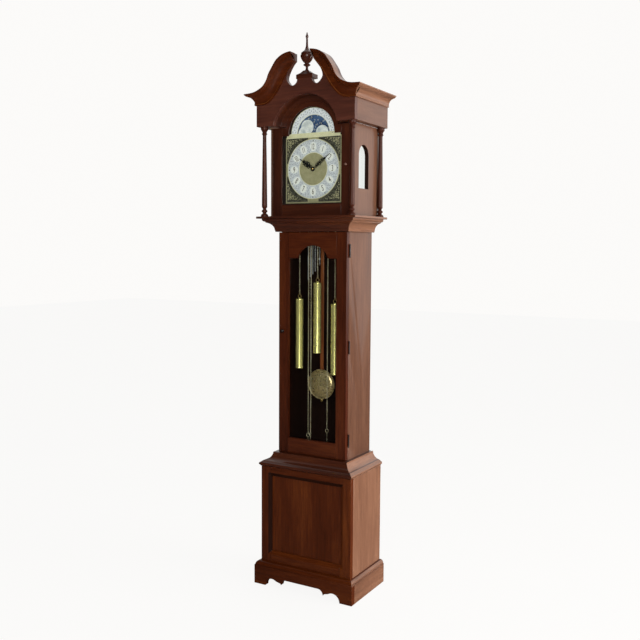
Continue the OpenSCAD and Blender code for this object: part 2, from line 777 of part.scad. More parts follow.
module dial_plate() color(brass) place() {
    slab(dial_y, dial_t) difference() {
        dial_outline(0);
        aperture();
        translate([0, hub_z]) circle(hub_hole);
    }
    // dial feet on the movement's front plate
    both_sides() {
        pin_y(70, plate_z + 17, 2.5, dial_y + dial_t, front_plate_y);
        pin_y(74, plate_z + 140, 2.5, dial_y + dial_t, front_plate_y);
    }
    // stud that the moon disc turns on
    pin_y(0, moon_z, arbor_r, dial_y + dial_t, moon_y + moon_t + 1);
}

module spandrels() color(brass) place() slab(dial_y - ring_t, ring_t) {
    difference() {
        rect(-dial_half + 5, dial_half - 5, dial_z + 5, dial_top - 5);
        translate([0, hub_z]) circle(ring_r + 3);
        rect(-dial_half + 40, dial_half - 40, dial_z, dial_top);
        rect(-dial_half, dial_half, dial_z + 40, dial_top - 40);
    }
    // the bar between the square and the arch, inside the door's glass and hollowed below by
    // the chapter ring
    intersection() {
        difference() {
            rect(-dial_half + 5, dial_half - 5, dial_top - 4, arch_foot);
            translate([0, hub_z]) circle(ring_r + 3);
        }
        hood_glass_outline(-0.5);
    }
}

module chapter_ring() color([0.85, 0.86, 0.88]) place() slab(dial_y - ring_t, ring_t)
    difference() {
        translate([0, hub_z]) circle(ring_r);
        translate([0, hub_z]) circle(ring_in);
    }

module lunar_arch() color([0.85, 0.86, 0.88]) place() slab(dial_y - ring_t, ring_t)
    intersection() {
        union() {
            difference() {
                translate([0, dial_head_z]) circle(dial_arch - 2);
                translate([0, dial_head_z]) circle(aperture_r);
            }
            both_sides() translate([hump_x, arch_foot - 2]) circle(hump_r);
        }
        rect(-far, far, arch_foot, 3 * far);
    }

module moon_disc() color([0.1, 0.15, 0.4]) place() slab(moon_y, moon_t)
    translate([0, moon_z]) difference() {
        polygon([for (i = [0:2 * moon_teeth - 1]) let (a = i * 180 / moon_teeth)
            (moon_disc_r - 1.6 * (i % 2)) * [cos(a), sin(a)]]);
        circle(arbor_r + run);
    }

// a tapered hand from the hub to its tip
module hand_outline(l, w) {
    circle(w * 1.5);
    polygon([[-w, 0], [-w * 0.8, l * 0.3], [-w * 1.3, l * 0.55], [-w * 0.4, l * 0.72], [0, l],
        [w * 0.4, l * 0.72], [w * 1.3, l * 0.55], [w * 0.8, l * 0.3], [w, 0]]);
}

module at_hub(angle) translate([0, 0, hub_z]) rotate([0, angle, 0]) children();

module hour_hand() color(black) place() at_hub(hour_angle) difference() {
    union() {
        slab(hour_y, hand_t) hand_outline(hour_l, 4);
        pin_y(0, 0, arbor_r + 2, hour_y, front_plate_y - 4);
    }
    pin_y(0, 0, arbor_r + run, 0, far);
}

module minute_hand() color(black) place() at_hub(minute_angle) {
    slab(minute_y, hand_t) hand_outline(minute_l, 3);
    pin_y(0, 0, arbor_r, minute_y, front_plate_y + plate_t);
    pin_y(0, 0, 4.2, minute_y - 2, minute_y);
}

// ---------- movement ----------

arbor_hole_r = 2;
pallet_r = 1.5;

module movement_plate(y) slab(y, plate_t) difference() {
    rect(-plate_half, plate_half, plate_z, plate_z + plate_h);
    translate([0, hub_z]) circle(arbor_r + run);
    for (x = [left_x, centre_x, right_x])
        translate([x, sprocket_z]) circle(arbor_hole_r + run);
    translate([0, swing_z]) circle(pallet_r + run);
}

module movement_frame() color(brass) place() {
    movement_plate(front_plate_y);
    movement_plate(back_plate_y);
    both_sides() for (z = [plate_z + 10, plate_z + plate_h - 10])
        pin_y(plate_half - 20, z, 4, front_plate_y, back_plate_y);
    // cock that the pendulum hangs from
    box(-8, 8, back_plate_y + plate_t, swing_y + 6, swing_z + 7, swing_z + 17);
    box(-8, 8, swing_y - 5, swing_y + 6, swing_z + gap, swing_z + 17);
    // brackets on the seat board for the hammers' bar
    for (x = [chime_x - 10, chime_x + 7.5 * chime_pitch + 2]) difference() {
        box(x, x + 3, dial_y + seat_d - 12, hammer_y + 5, plate_z, hammer_z + 5);
        translate([x - 1, hammer_y, hammer_z]) rotate([0, 90, 0])
            cylinder(r = pallet_r + run, h = 5);
    }
}

// a chain sprocket with its great wheel and arbor
module sprocket(x, pull, wheel_y) difference() {
    body_r = pull - chain_r - gap;
    union() {
        pin_y(x, sprocket_z, arbor_hole_r, front_plate_y, back_plate_y + plate_t);
        pin_y(x, sprocket_z, body_r - 2, chain_y - 3.5, chain_y + 3.5);
        for (y = [chain_y - 5, chain_y + 3.5]) pin_y(x, sprocket_z, body_r, y, y + 1.5);
        pin_y(x, sprocket_z, 30, wheel_y, wheel_y + 2);
    }
    for (a = [0:72:288]) translate([x, 0, sprocket_z]) rotate([0, a, 0])
        pin_y(0, 18, 7, wheel_y - 1, wheel_y + 3);
}

module sprocket_left() color(brass) place() sprocket(left_x, left_pull, chain_y + 7);

module sprocket_centre() color(brass) place() sprocket(centre_x, centre_pull, chain_y + 11);

module sprocket_right() color(brass) place() sprocket(right_x, right_pull, chain_y + 7);

module pallet_arbor() color(steel) place() {
    crutch_y = back_plate_y + plate_t + 3;
    pin_y(0, swing_z, pallet_r, front_plate_y, crutch_y + 3);
    slab(chain_y - 12, 3) polygon(mirrored([[4, swing_z - 4], [24, swing_z - 22],
        [21, swing_z - 10], [10, swing_z + 3], [5, swing_z + 5]]));
    box(-2, 2, crutch_y, crutch_y + 2, swing_z - 84, swing_z);
    box(-rod_w / 2 - 3, rod_w / 2 + 3, crutch_y, crutch_y + 2, swing_z - 88, swing_z - 84);
    both_sides() box(rod_w / 2 + 0.5, rod_w / 2 + 3, crutch_y, swing_y + 4,
        swing_z - 88, swing_z - 84);
}

bob_z = swing_z - bob_drop;
tip_z = bob_z - bob_r - 13.5;

module pendulum_rod() color(amber) place() {
    box(-rod_w / 2, rod_w / 2, swing_y - rod_t / 2, swing_y + rod_t / 2, bob_z - bob_r + 6,
        swing_z - 20);
    box(-4, 4, swing_y - 0.3, swing_y + 0.3, swing_z - 21, swing_z);
    // threaded end and rating nut
    translate([0, swing_y, tip_z]) cylinder(r = 2, h = 22);
    translate([0, swing_y, tip_z + 4]) cylinder(r = 7, h = 5);
}

module pendulum_bob() color(brass) place()
    translate([0, swing_y - rod_t / 2 - 0.1, bob_z]) rotate([90, 0, 0]) rotate_extrude()
        polygon(concat([[0, 0], [bob_r - 1, 0], [bob_r, 1.5], [bob_r - 1, 3]],
            [for (i = [1:7]) [(bob_r - 2) * (1 - i / 7), 3 + 12 * sin(i * 90 / 7)]]));

// a brass weight with the ring that its chain hooks into
module weight(x, z) translate([x, chain_y, z]) {
    cylinder(r = weight_r - 0.5, h = weight_l);
    for (cap = [0, weight_l - 6]) translate([0, 0, cap]) cylinder(r = weight_r, h = 6);
    translate([0, 0, weight_l]) cylinder(r = 4, h = hook_up - hook_r + 1);
    translate([0, 0, weight_l + hook_up]) rotate([90, 0, 0]) rotate_extrude()
        translate([hook_r, 0]) circle(hook_wire);
}

module weight_left() color(brass) place() weight(left_x - left_pull, weight_left_z);

module weight_centre() color(brass) place() weight(centre_x + centre_pull, weight_centre_z);

module weight_right() color(brass) place() weight(right_x + right_pull, weight_right_z);

// one straight strand of chain up to the height of the sprockets
module strand(x, z) translate([x, chain_y, z]) cylinder(r = chain_r, h = sprocket_z - z, $fn = 32);

module weight_chain_left() color(brass) place()
    strand(left_x - left_pull, weight_left_z + weight_l + hook_top + gap);

module weight_chain_centre() color(brass) place()
    strand(centre_x + centre_pull, weight_centre_z + weight_l + hook_top + gap);

module weight_chain_right() color(brass) place()
    strand(right_x + right_pull, weight_right_z + weight_l + hook_top + gap);

module pull_chain(x, z) strand(x, z + pull_ring_r + pull_wire + gap);

module pull_ring(x, z) translate([x, chain_y, z]) rotate([90, 0, 0]) rotate_extrude()
    translate([pull_ring_r, 0]) circle(pull_wire);

module pull_chain_left() color(brass) place() pull_chain(left_x + left_pull, ring_left_z);

module pull_chain_centre() color(brass) place()
    pull_chain(centre_x - centre_pull, ring_centre_z);

module pull_chain_right() color(brass) place() pull_chain(right_x - right_pull, ring_right_z);

module chain_ring_left() color(brass) place() pull_ring(left_x + left_pull, ring_left_z);

module chain_ring_centre() color(brass) place()
    pull_ring(centre_x - centre_pull, ring_centre_z);

module chain_ring_right() color(brass) place() pull_ring(right_x - right_pull, ring_right_z);

function chime_at(i) = chime_x + i * chime_pitch;

module chime_rods() color(steel) place() {
    box(chime_x - 8, chime_at(rod_count - 1) + 8, chime_y - 7, case_d - back_t,
        chime_block_z, chime_block_z + 16);
    for (i = [0:rod_count - 1])
        translate([chime_at(i), chime_y, chime_block_z - 290 + 12 * i])
            cylinder(r = chime_r, h = 292 - 12 * i, $fn = 24);
}

module chime_hammers() color(steel) place() {
    translate([chime_x - 12, hammer_y, hammer_z]) rotate([0, 90, 0])
        cylinder(r = pallet_r, h = 7.5 * chime_pitch + 18);
    for (i = [0:rod_count - 1]) {
        box(chime_at(i) - 2, chime_at(i) + 2, hammer_y - 3.5, hammer_y - 1, chime_block_z - 14, hammer_z);
        pin_y(chime_at(i), chime_block_z - 12, 4.5, hammer_y - 7, hammer_y + 5.5);
    }
}

plinth_boards();
plinth_moulding();
base_floor();
base_front_frame();
base_panel();
base_sides();
base_top_moulding();
backboard();
waist_sides();
hood_base();
hood_sides();
side_window_glass();
columns();
hood_soffit();
pediment_board();
frieze_sides();
hood_roof();
swan_necks();
cornice_returns();
pedestal_cap();
finial();
seat_board();
waist_door();
waist_door_glass();
waist_door_knob();
waist_hinges_case();
waist_hinges_door();
hood_door();
hood_door_glass();
hood_door_fittings();
hood_hinge_pins();
dial_mask();
dial_plate();
spandrels();
chapter_ring();
lunar_arch();
moon_disc();
hour_hand();
minute_hand();
movement_frame();
sprocket_left();
sprocket_centre();
sprocket_right();
pallet_arbor();
pendulum_rod();
pendulum_bob();
weight_left();
weight_centre();
weight_right();
weight_chain_left();
weight_chain_centre();
weight_chain_right();
pull_chain_left();
pull_chain_centre();
pull_chain_right();
chain_ring_left();
chain_ring_centre();
chain_ring_right();
chime_rods();
chime_hammers();
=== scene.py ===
# %% [markdown]
# # A longcase clock, dressed around its CAD frame
# The CAD model holds every size and place. This script gives its pieces their real surfaces and
# rebuilds the ones whose beauty is in their edges: mouldings, turnings, the dial and the chains.

# %% Load the frame
import json
import math
import random

import bmesh
import bpy
from mathutils import Matrix, Vector


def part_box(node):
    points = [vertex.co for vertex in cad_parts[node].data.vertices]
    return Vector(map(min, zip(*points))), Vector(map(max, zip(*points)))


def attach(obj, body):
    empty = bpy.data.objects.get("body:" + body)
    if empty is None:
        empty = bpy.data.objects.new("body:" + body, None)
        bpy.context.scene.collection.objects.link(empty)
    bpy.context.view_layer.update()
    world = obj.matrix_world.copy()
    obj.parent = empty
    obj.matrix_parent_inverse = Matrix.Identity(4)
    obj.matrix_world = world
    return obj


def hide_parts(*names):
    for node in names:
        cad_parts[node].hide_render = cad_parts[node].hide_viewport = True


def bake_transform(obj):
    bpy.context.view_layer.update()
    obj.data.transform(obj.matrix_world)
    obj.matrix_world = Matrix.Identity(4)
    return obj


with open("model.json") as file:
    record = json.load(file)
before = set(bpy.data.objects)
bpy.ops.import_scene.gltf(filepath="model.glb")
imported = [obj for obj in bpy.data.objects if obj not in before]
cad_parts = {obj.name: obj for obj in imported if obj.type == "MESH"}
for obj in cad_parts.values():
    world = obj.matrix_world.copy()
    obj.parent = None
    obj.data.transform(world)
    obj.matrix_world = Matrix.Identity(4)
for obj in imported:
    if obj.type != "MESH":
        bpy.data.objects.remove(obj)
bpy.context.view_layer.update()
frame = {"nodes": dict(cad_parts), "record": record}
nodes = frame["nodes"]
body_of_node = {node: body for body, members in frame["record"]["behaviour"]["bodies"].items()
                for node in members}
MM = 0.001

# %% [markdown]
# ## Camera, floor and light
# A tall thin object is easiest to judge with the camera at chest height and a fairly long lens.
# A lacquered clock mirrors what stands around it, so what it is lit by matters as much as how
# strongly. Here the room is brightest behind, above and to the right, and dark in front. A big
# soft lamp stands on the right and a weaker one in front. To the camera the room is near white.

# %% Camera
EYE = Vector((1.6083, -2.7684, 1.3301))
YAW, PITCH, ROLL = math.radians(30.08), math.radians(4.865), math.radians(-0.339)
LENS, SENSOR = 46.36, 36.0
forward = Vector((-math.sin(YAW) * math.cos(PITCH), math.cos(YAW) * math.cos(PITCH),
                  -math.sin(PITCH)))
level_right = Vector((math.cos(YAW), math.sin(YAW), 0))
level_up = level_right.cross(forward)
picture_right = math.cos(ROLL) * level_right - math.sin(ROLL) * level_up
picture_up = picture_right.cross(forward)
camera_data = bpy.data.cameras.new("camera")
camera_data.lens = LENS
camera_data.sensor_width = SENSOR
camera = bpy.data.objects.new("camera", camera_data)
camera.matrix_world = Matrix.Translation(EYE) @ Matrix(
    (picture_right, picture_up, -forward)).transposed().to_4x4()
bpy.context.scene.collection.objects.link(camera)
bpy.context.scene.camera = camera
bpy.context.scene.view_settings.view_transform = "Standard"
print("camera", tuple(EYE), "with a lens of", LENS, "mm")


# %% Lamps
def soft_lamp(name, place, aim, size, power, colour):
    """A rectangular soft box that shines from place towards aim."""
    data = bpy.data.lights.new(name, "AREA")
    data.shape = "RECTANGLE"
    data.size, data.size_y = size
    data.energy = power
    data.color = colour
    lamp = bpy.data.objects.new(name, data)
    lamp.location = place
    lamp.rotation_euler = (Vector(aim) - Vector(place)).to_track_quat("-Z", "Y").to_euler()
    bpy.context.scene.collection.objects.link(lamp)


soft_lamp("window", (4.2, 0.6, 1.2), (0, 0, 1.0), (2.4, 2.4), 225, (1.0, 0.94, 0.88))
soft_lamp("fill", (1.9, -3.4, 1.9), (0, 0, 1.1), (1.8, 1.8), 98, (1.0, 0.96, 0.92))


# %% Room
def add(tree, kind, **settings):
    """A node with its settings: attributes by name, or inputs as input_NAME."""
    node = tree.nodes.new(kind)
    for key, value in settings.items():
        if key.startswith("input_"):
            node.inputs[key[6:].replace("_", " ")].default_value = value
        else:
            setattr(node, key, value)
    return node


BRIGHT_SIDE = (0.50, 0.72, 0.45)
DARKEST, BRIGHTEST, SEEN_WHITE = 0.03, 1.0, 0.97
world = bpy.data.worlds.new("room")
bpy.context.scene.world = world
world.use_nodes = True
room = world.node_tree
background = room.nodes["Background"]
sky = add(room, "ShaderNodeTexCoord")
towards_wall = add(room, "ShaderNodeVectorMath", operation="DOT_PRODUCT")
towards_wall.inputs[1].default_value = BRIGHT_SIDE
wall_ramp = add(room, "ShaderNodeMapRange", input_From_Min=-0.12, input_From_Max=0.5,
                input_To_Min=DARKEST, input_To_Max=BRIGHTEST)
light_path = add(room, "ShaderNodeLightPath")
seen_or_lit = add(room, "ShaderNodeMix", input_B=SEEN_WHITE)
room.links.new(sky.outputs["Generated"], towards_wall.inputs[0])
room.links.new(towards_wall.outputs["Value"], wall_ramp.inputs["Value"])
room.links.new(light_path.outputs["Is Camera Ray"], seen_or_lit.inputs["Factor"])
room.links.new(wall_ramp.outputs["Result"], seen_or_lit.inputs["A"])
room.links.new(seen_or_lit.outputs["Result"], background.inputs["Strength"])
background.inputs["Color"].default_value = (1.0, 0.99, 0.975, 1)
print("room strength from", DARKEST, "to", BRIGHTEST)

# %% [markdown]
# ## Small helpers
# Each piece starts as a bmesh, becomes an object with one material, rides with the CAD body that
# carries it, and hides the CAD nodes it replaces. Smooth shading with sharp edges kept by angle
# makes turned and moulded wood read as round, and a tiny bevel catches the light on every arris.


def finish_piece(shape, name, material, node, replaced=(), bevel=0.0, angle=35):
    """Turns a bmesh or a mesh into a piece that rides with node's body and has its slot."""
    if isinstance(shape, bmesh.types.BMesh):
        mesh = bpy.data.meshes.new(name)
        bmesh.ops.recalc_face_normals(shape, faces=shape.faces)
        shape.to_mesh(mesh)
        shape.free()
    else:
        mesh = shape
    mesh.shade_smooth()
    mesh.set_sharp_from_angle(angle=math.radians(angle))
    mesh.materials.clear()
    mesh.materials.append(material)
    piece = bpy.data.objects.new(name, mesh)
    bpy.context.scene.collection.objects.link(piece)
    if bevel:
        rounding = piece.modifiers.new("rounding", "BEVEL")
        rounding.width = bevel * MM
        rounding.segments = 2
        rounding.limit_method = "ANGLE"
        rounding.angle_limit = math.radians(angle)
    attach(piece, body_of_node[node])
    if replaced:
        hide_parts(*replaced)
    return piece


# %% Floor
FLOOR_REACH = 14.0
floor_shape = bmesh.new()
bmesh.ops.create_grid(floor_shape, x_segments=1, y_segments=1, size=FLOOR_REACH)
floor_mesh = bpy.data.meshes.new("floor")
floor_shape.to_mesh(floor_mesh)
floor_shape.free()
floor = bpy.data.objects.new("floor", floor_mesh)
bpy.context.scene.collection.objects.link(floor)
print("floor", 2 * FLOOR_REACH, "m across")


# %% [markdown]
# ## Materials
# Everything is procedural and reads Object coordinates, so a pattern has its real size in metres
# and runs on through neighbouring boards of one piece. Grain is noise stretched along the board.


# %% Node helpers
def new_material(name):
    """A new material with its node tree and its Principled shader."""
    material = bpy.data.materials.new(name)
    material.use_nodes = True
    tree = material.node_tree
    return material, tree, tree.nodes["Principled BSDF"]


def ramp(tree, value, stops):
    """A colour ramp fed by value, with (place, colour) stops."""
    node = tree.nodes.new("ShaderNodeValToRGB")
    while len(node.color_ramp.elements) < len(stops):
        node.color_ramp.elements.new(0.5)
    for element, (place, colour) in zip(node.color_ramp.elements, stops):
        element.position = place
        element.color = (*colour, 1)
    tree.links.new(value, node.inputs["Fac"])
    return node.outputs["Color"]


def mapped(tree, scale, offset=(0, 0, 0)):
    """Object coordinates, moved and scaled."""
    place = add(tree, "ShaderNodeTexCoord")
    mapping = add(tree, "ShaderNodeMapping")
    mapping.inputs["Scale"].default_value = scale
    mapping.inputs["Location"].default_value = offset
    tree.links.new(place.outputs["Object"], mapping.inputs["Vector"])
    return mapping.outputs["Vector"]


def bump(tree, shader, height, strength, distance):
    """Raises the surface where height is high, by up to distance in metres."""
    node = add(tree, "ShaderNodeBump", input_Strength=strength, input_Distance=distance)
    tree.links.new(height, node.inputs["Height"])
    tree.links.new(node.outputs["Normal"], shader.inputs["Normal"])


def mix_colour(tree, factor, a, b, blend="MIX"):
    """Mixes two colours; factor, a and b are sockets or plain values."""
    node = tree.nodes.new("ShaderNodeMix")
    node.data_type = "RGBA"
    node.blend_type = blend
    for socket, value in ((node.inputs[0], factor), (node.inputs[6], a), (node.inputs[7], b)):
        if isinstance(value, bpy.types.NodeSocket):
            tree.links.new(value, socket)
        else:
            socket.default_value = value if isinstance(value, float) else (*value, 1)
    return node.outputs[2]


# %% [markdown]
# ### Wood
# Mahogany shows broad bands, fine streaks and open pores, all drawn out along the board. Three
# noises of different scale give them, stretched along one axis, under a coat of clear lacquer.
# Each part of the case has its own palette: the fronts are deep red, the columns darker and the
# pediment browner. The hood's door is darker too, partly as painted shade for the reveal round
# its arch, and the sides are painted paler, as painted light. A low gloss keeps haze off the
# lower fronts.

# %% Lacquered wood
ALONG = {"X": (1, 14, 14), "Y": (14, 1, 14), "Z": (14, 14, 1)}
STREAK_SHARE, PORE_SHARE = 0.42, 0.4


def wood(name, dark, middle, light, axis, rough=0.3, coat=0.35, seed=0.0, gloss=0.3):
    """Mahogany whose grain runs along an axis; gloss is the wood's own shine under the coat."""
    material, tree, shader = new_material(name)
    stretch = ALONG[axis]
    broad = add(tree, "ShaderNodeTexNoise", input_Scale=1.0, input_Detail=4.0, input_Roughness=0.55,
                input_Distortion=0.15)
    tree.links.new(mapped(tree, [1.6 * s ** 0.75 for s in stretch], (seed, seed, seed)),
                   broad.inputs["Vector"])
    streaks = add(tree, "ShaderNodeTexNoise", input_Scale=1.0, input_Detail=6.0,
                  input_Roughness=0.65)
    tree.links.new(mapped(tree, [9.0 * s for s in stretch], (seed, 0, 0)), streaks.inputs["Vector"])
    pores = add(tree, "ShaderNodeTexNoise", input_Scale=1.0, input_Detail=2.0)
    tree.links.new(mapped(tree, [38.0 * s for s in stretch]), pores.inputs["Vector"])
    grain = mix_colour(tree, STREAK_SHARE, broad.outputs["Fac"], streaks.outputs["Fac"])
    colour = ramp(tree, grain, ((0.28, dark), (0.5, middle), (0.74, light)))
    pore_shade = ramp(tree, pores.outputs["Fac"], ((0.34, (0.55, 0.5, 0.48)), (0.46, (1, 1, 1))))
    colour = mix_colour(tree, PORE_SHARE, colour, pore_shade, "MULTIPLY")
    tree.links.new(colour, shader.inputs["Base Color"])
    sheen = add(tree, "ShaderNodeMapRange")
    sheen.inputs["To Min"].default_value = rough - 0.06
    sheen.inputs["To Max"].default_value = rough + 0.1
    tree.links.new(broad.outputs["Fac"], sheen.inputs["Value"])
    tree.links.new(sheen.outputs["Result"], shader.inputs["Roughness"])
    shader.inputs["Specular IOR Level"].default_value = gloss
    shader.inputs["Coat Weight"].default_value = coat
    shader.inputs["Coat Roughness"].default_value = 0.09
    shader.inputs["Coat IOR"].default_value = 1.45
    bump(tree, shader, pores.outputs["Fac"], 0.12, 0.0004)
    return material


# %% Wood of the case, front and inside
FRONT_WOOD = ((0.018, 0.0040, 0.0020), (0.050, 0.0112, 0.0042), (0.100, 0.0262, 0.0070))
BASE_WOOD = ((0.022, 0.0040, 0.0008), (0.060, 0.0108, 0.0016), (0.125, 0.0290, 0.0035))
DOOR_WOOD = ((0.019, 0.0037, 0.0014), (0.053, 0.0102, 0.0029), (0.112, 0.0268, 0.0060))
# The recess palette is the base's mahogany made very dark: painted shade round the panel.
RECESS_PAINTED_SHADE = ((0.006, 0.0014, 0.0006), (0.016, 0.0035, 0.0012), (0.034, 0.0085, 0.0025))
INSIDE_WOOD = ((0.006, 0.002, 0.0015), (0.014, 0.005, 0.003), (0.025, 0.009, 0.005))
SOFTWOOD = ((0.2, 0.11, 0.05), (0.33, 0.19, 0.09), (0.42, 0.26, 0.13))
SATIN = {"coat": 0.12, "gloss": 0.15}
wood_x = wood("mahogany_across", *FRONT_WOOD, "X", seed=3.1)
base_z_wood = wood("base_upright", *BASE_WOOD, "Z", seed=7.7, **SATIN)
base_x_wood = wood("base_across", *BASE_WOOD, "X", seed=2.2, **SATIN)
base_panel_wood = wood("panel_veneer", *BASE_WOOD, "Z", seed=11.0, **SATIN)
door_wood_z = wood("door_stiles", *DOOR_WOOD, "Z", seed=8.0, **SATIN)
door_wood_x = wood("door_rails", *DOOR_WOOD, "X", seed=12.0, **SATIN)
recess_painted_shade = wood("recess_painted_shade", *RECESS_PAINTED_SHADE, "Z", seed=18.0, coat=0.1, gloss=0.15)
inside_wood = wood("inside_upright", *INSIDE_WOOD, "Z", rough=0.6, coat=0.0, seed=9.0, gloss=0.08)
plain_wood = wood("softwood", *SOFTWOOD, "X", rough=0.6, coat=0.0)

# %% Wood of the sides
# The side palettes are the mahogany painted paler and less red: painted light on the sides.
SIDE_PAINTED_LIGHT = ((0.048, 0.0185, 0.0100), (0.090, 0.0380, 0.0210), (0.142, 0.0660, 0.0370))
# This brighter one adds more painted light, for the base's sides, the returns and neck tops.
SIDE_MORE_PAINTED_LIGHT = ((0.086, 0.036, 0.020), (0.162, 0.074, 0.042), (0.248, 0.124, 0.074))
upright_side_painted_light = wood("side_upright", *SIDE_PAINTED_LIGHT, "Z", seed=1.3)
deep_side_painted_light = wood("side_deep", *SIDE_PAINTED_LIGHT, "Y", seed=5.7)
deep_side_more_painted_light = wood("side_deep_more_painted_light", *SIDE_MORE_PAINTED_LIGHT, "Y", seed=5.7)
upright_side_more_painted_light = wood("side_upright_more_painted_light", *SIDE_MORE_PAINTED_LIGHT, "Z", seed=1.3)

# %% Wood of the hood and the pendulum
DEEP_WOOD = ((0.012, 0.0026, 0.0014), (0.034, 0.0070, 0.0030), (0.070, 0.0165, 0.0055))
HEAD_WOOD = ((0.022, 0.0062, 0.0040), (0.062, 0.0175, 0.0108), (0.122, 0.0380, 0.0210))
# The hood's palette is darker, partly as painted shade for the reveal round the door's arch.
HOOD_WOOD_WITH_PAINTED_SHADE = ((0.016, 0.0036, 0.0018), (0.046, 0.0102, 0.0038), (0.092, 0.0235, 0.0066))
# This pale orange palette is a painted highlight for the upturned bands of the swan necks.
LIT_WOOD = ((0.055, 0.014, 0.003), (0.130, 0.037, 0.0075), (0.230, 0.078, 0.016))
ROD_WOOD = ((0.10, 0.025, 0.008), (0.2, 0.055, 0.014), (0.3, 0.1, 0.03))
neck_wood = wood("neck_wood", *BASE_WOOD, "X", seed=13.0, **SATIN)
neck_painted_highlight = wood("neck_painted_highlight", *LIT_WOOD, "X", seed=19.0, coat=0.15, gloss=0.2)
pediment_wood = wood("pediment_veneer", *HEAD_WOOD, "X", seed=17.0)
finial_wood = wood("finial_wood", *DEEP_WOOD, "Z", seed=6.0, rough=0.22)
column_wood = wood("column_wood", *DEEP_WOOD, "Z", seed=14.0, rough=0.38, coat=0.06, gloss=0.15)
hood_door_z_with_painted_shade = wood("hood_door_stiles", *HOOD_WOOD_WITH_PAINTED_SHADE, "Z", seed=15.0)
hood_door_x_with_painted_shade = wood("hood_door_rails", *HOOD_WOOD_WITH_PAINTED_SHADE, "X", seed=16.0)
rod_wood = wood("rod_wood", *ROD_WOOD, "Z", rough=0.3, seed=4.0)

# %% [markdown]
# ### Metal and paint
# Lacquered brass is never one colour, so a cloudy noise shades it and varies its roughness, and
# a stretched noise adds brush lines. The dial's brass and the weights are given less than full
# metal, because a pure metal goes as dark as the room in front of it, and these read as pale.


# %% Metal
def metal(name, colour, shade, rough, brush=None, speckle=60.0, metallic=1.0):
    """Metal with faint colour variation and, if brush is given, fine lines across that scale."""
    material, tree, shader = new_material(name)
    cloud = add(tree, "ShaderNodeTexNoise", input_Scale=speckle, input_Detail=4.0)
    tree.links.new(mapped(tree, (1, 1, 1)), cloud.inputs["Vector"])
    tone = ramp(tree, cloud.outputs["Fac"], ((0.3, shade), (0.65, colour)))
    tree.links.new(tone, shader.inputs["Base Color"])
    shader.inputs["Metallic"].default_value = metallic
    finish = add(tree, "ShaderNodeMapRange")
    finish.inputs["To Min"].default_value = rough * 0.75
    finish.inputs["To Max"].default_value = rough * 1.3
    tree.links.new(cloud.outputs["Fac"], finish.inputs["Value"])
    tree.links.new(finish.outputs["Result"], shader.inputs["Roughness"])
    if brush:
        lines = add(tree, "ShaderNodeTexNoise", input_Scale=1.0, input_Detail=2.0)
        tree.links.new(mapped(tree, brush), lines.inputs["Vector"])
        bump(tree, shader, lines.outputs["Fac"], 0.25, 0.0002)
    return material


# %% Metals of the clock
polished_brass = metal("polished_brass", (0.86, 0.66, 0.27), (0.72, 0.52, 0.19), 0.16)
tube_brass = metal("tube_brass", (1.0, 0.92, 0.36), (0.97, 0.88, 0.32), 0.24, speckle=4.0,
                   metallic=0.75)
old_brass = metal("old_brass", (0.60, 0.45, 0.20), (0.36, 0.25, 0.10), 0.3)
chain_brass = metal("chain_brass", (0.88, 0.82, 0.60), (0.60, 0.52, 0.32), 0.3, metallic=0.75)
dial_brass = metal("dial_brass", (0.56, 0.52, 0.31), (0.44, 0.41, 0.23), 0.42, (1500, 1500, 60),
                   metallic=0.35)
plate_brass = metal("plate_brass", (0.75, 0.58, 0.28), (0.6, 0.45, 0.2), 0.3, (60, 60, 900))
rim_brass = metal("rim_brass", (1.0, 0.97, 0.66), (0.90, 0.86, 0.54), 0.32, metallic=0.25)
bob_brass = metal("bob_brass", (0.84, 0.69, 0.37), (0.50, 0.39, 0.18), 0.28, speckle=130.0,
                  metallic=0.85)
gilt = metal("gilt", (0.80, 0.75, 0.46), (0.42, 0.38, 0.20), 0.36, speckle=400.0, metallic=0.4)
knob_copper = metal("knob_copper", (0.42, 0.25, 0.20), (0.26, 0.15, 0.12), 0.45)
steel = metal("steel", (0.46, 0.47, 0.49), (0.34, 0.35, 0.37), 0.34, (700, 700, 40))
chime_steel = metal("chime_steel", (0.40, 0.41, 0.43), (0.3, 0.31, 0.33), 0.3, (900, 900, 40))
iron = metal("iron", (0.05, 0.045, 0.045), (0.022, 0.02, 0.02), 0.34)


# %% Paint
def paint(name, colour, shade, rough, scale=40.0, coat=0.0):
    """Paint, ink or silvering: colour clouded with shade at that scale, and faintly uneven."""
    material, tree, shader = new_material(name)
    cloud = add(tree, "ShaderNodeTexNoise", input_Scale=scale, input_Detail=5.0)
    tree.links.new(mapped(tree, (1, 1, 1)), cloud.inputs["Vector"])
    tree.links.new(ramp(tree, cloud.outputs["Fac"], ((0.35, shade), (0.62, colour))),
                   shader.inputs["Base Color"])
    shader.inputs["Roughness"].default_value = rough
    shader.inputs["Coat Weight"].default_value = coat
    bump(tree, shader, cloud.outputs["Fac"], 0.05, 0.0003)
    return material


# %% Paints of the clock
hand_black = paint("hand_black", (0.012, 0.012, 0.013), (0.006, 0.006, 0.007), 0.35, coat=0.4)
mask_black = paint("mask_black", (0.020, 0.010, 0.008), (0.010, 0.006, 0.005), 0.55)
silvering = paint("silvering", (0.78, 0.80, 0.82), (0.56, 0.61, 0.68), 0.4, scale=420.0)
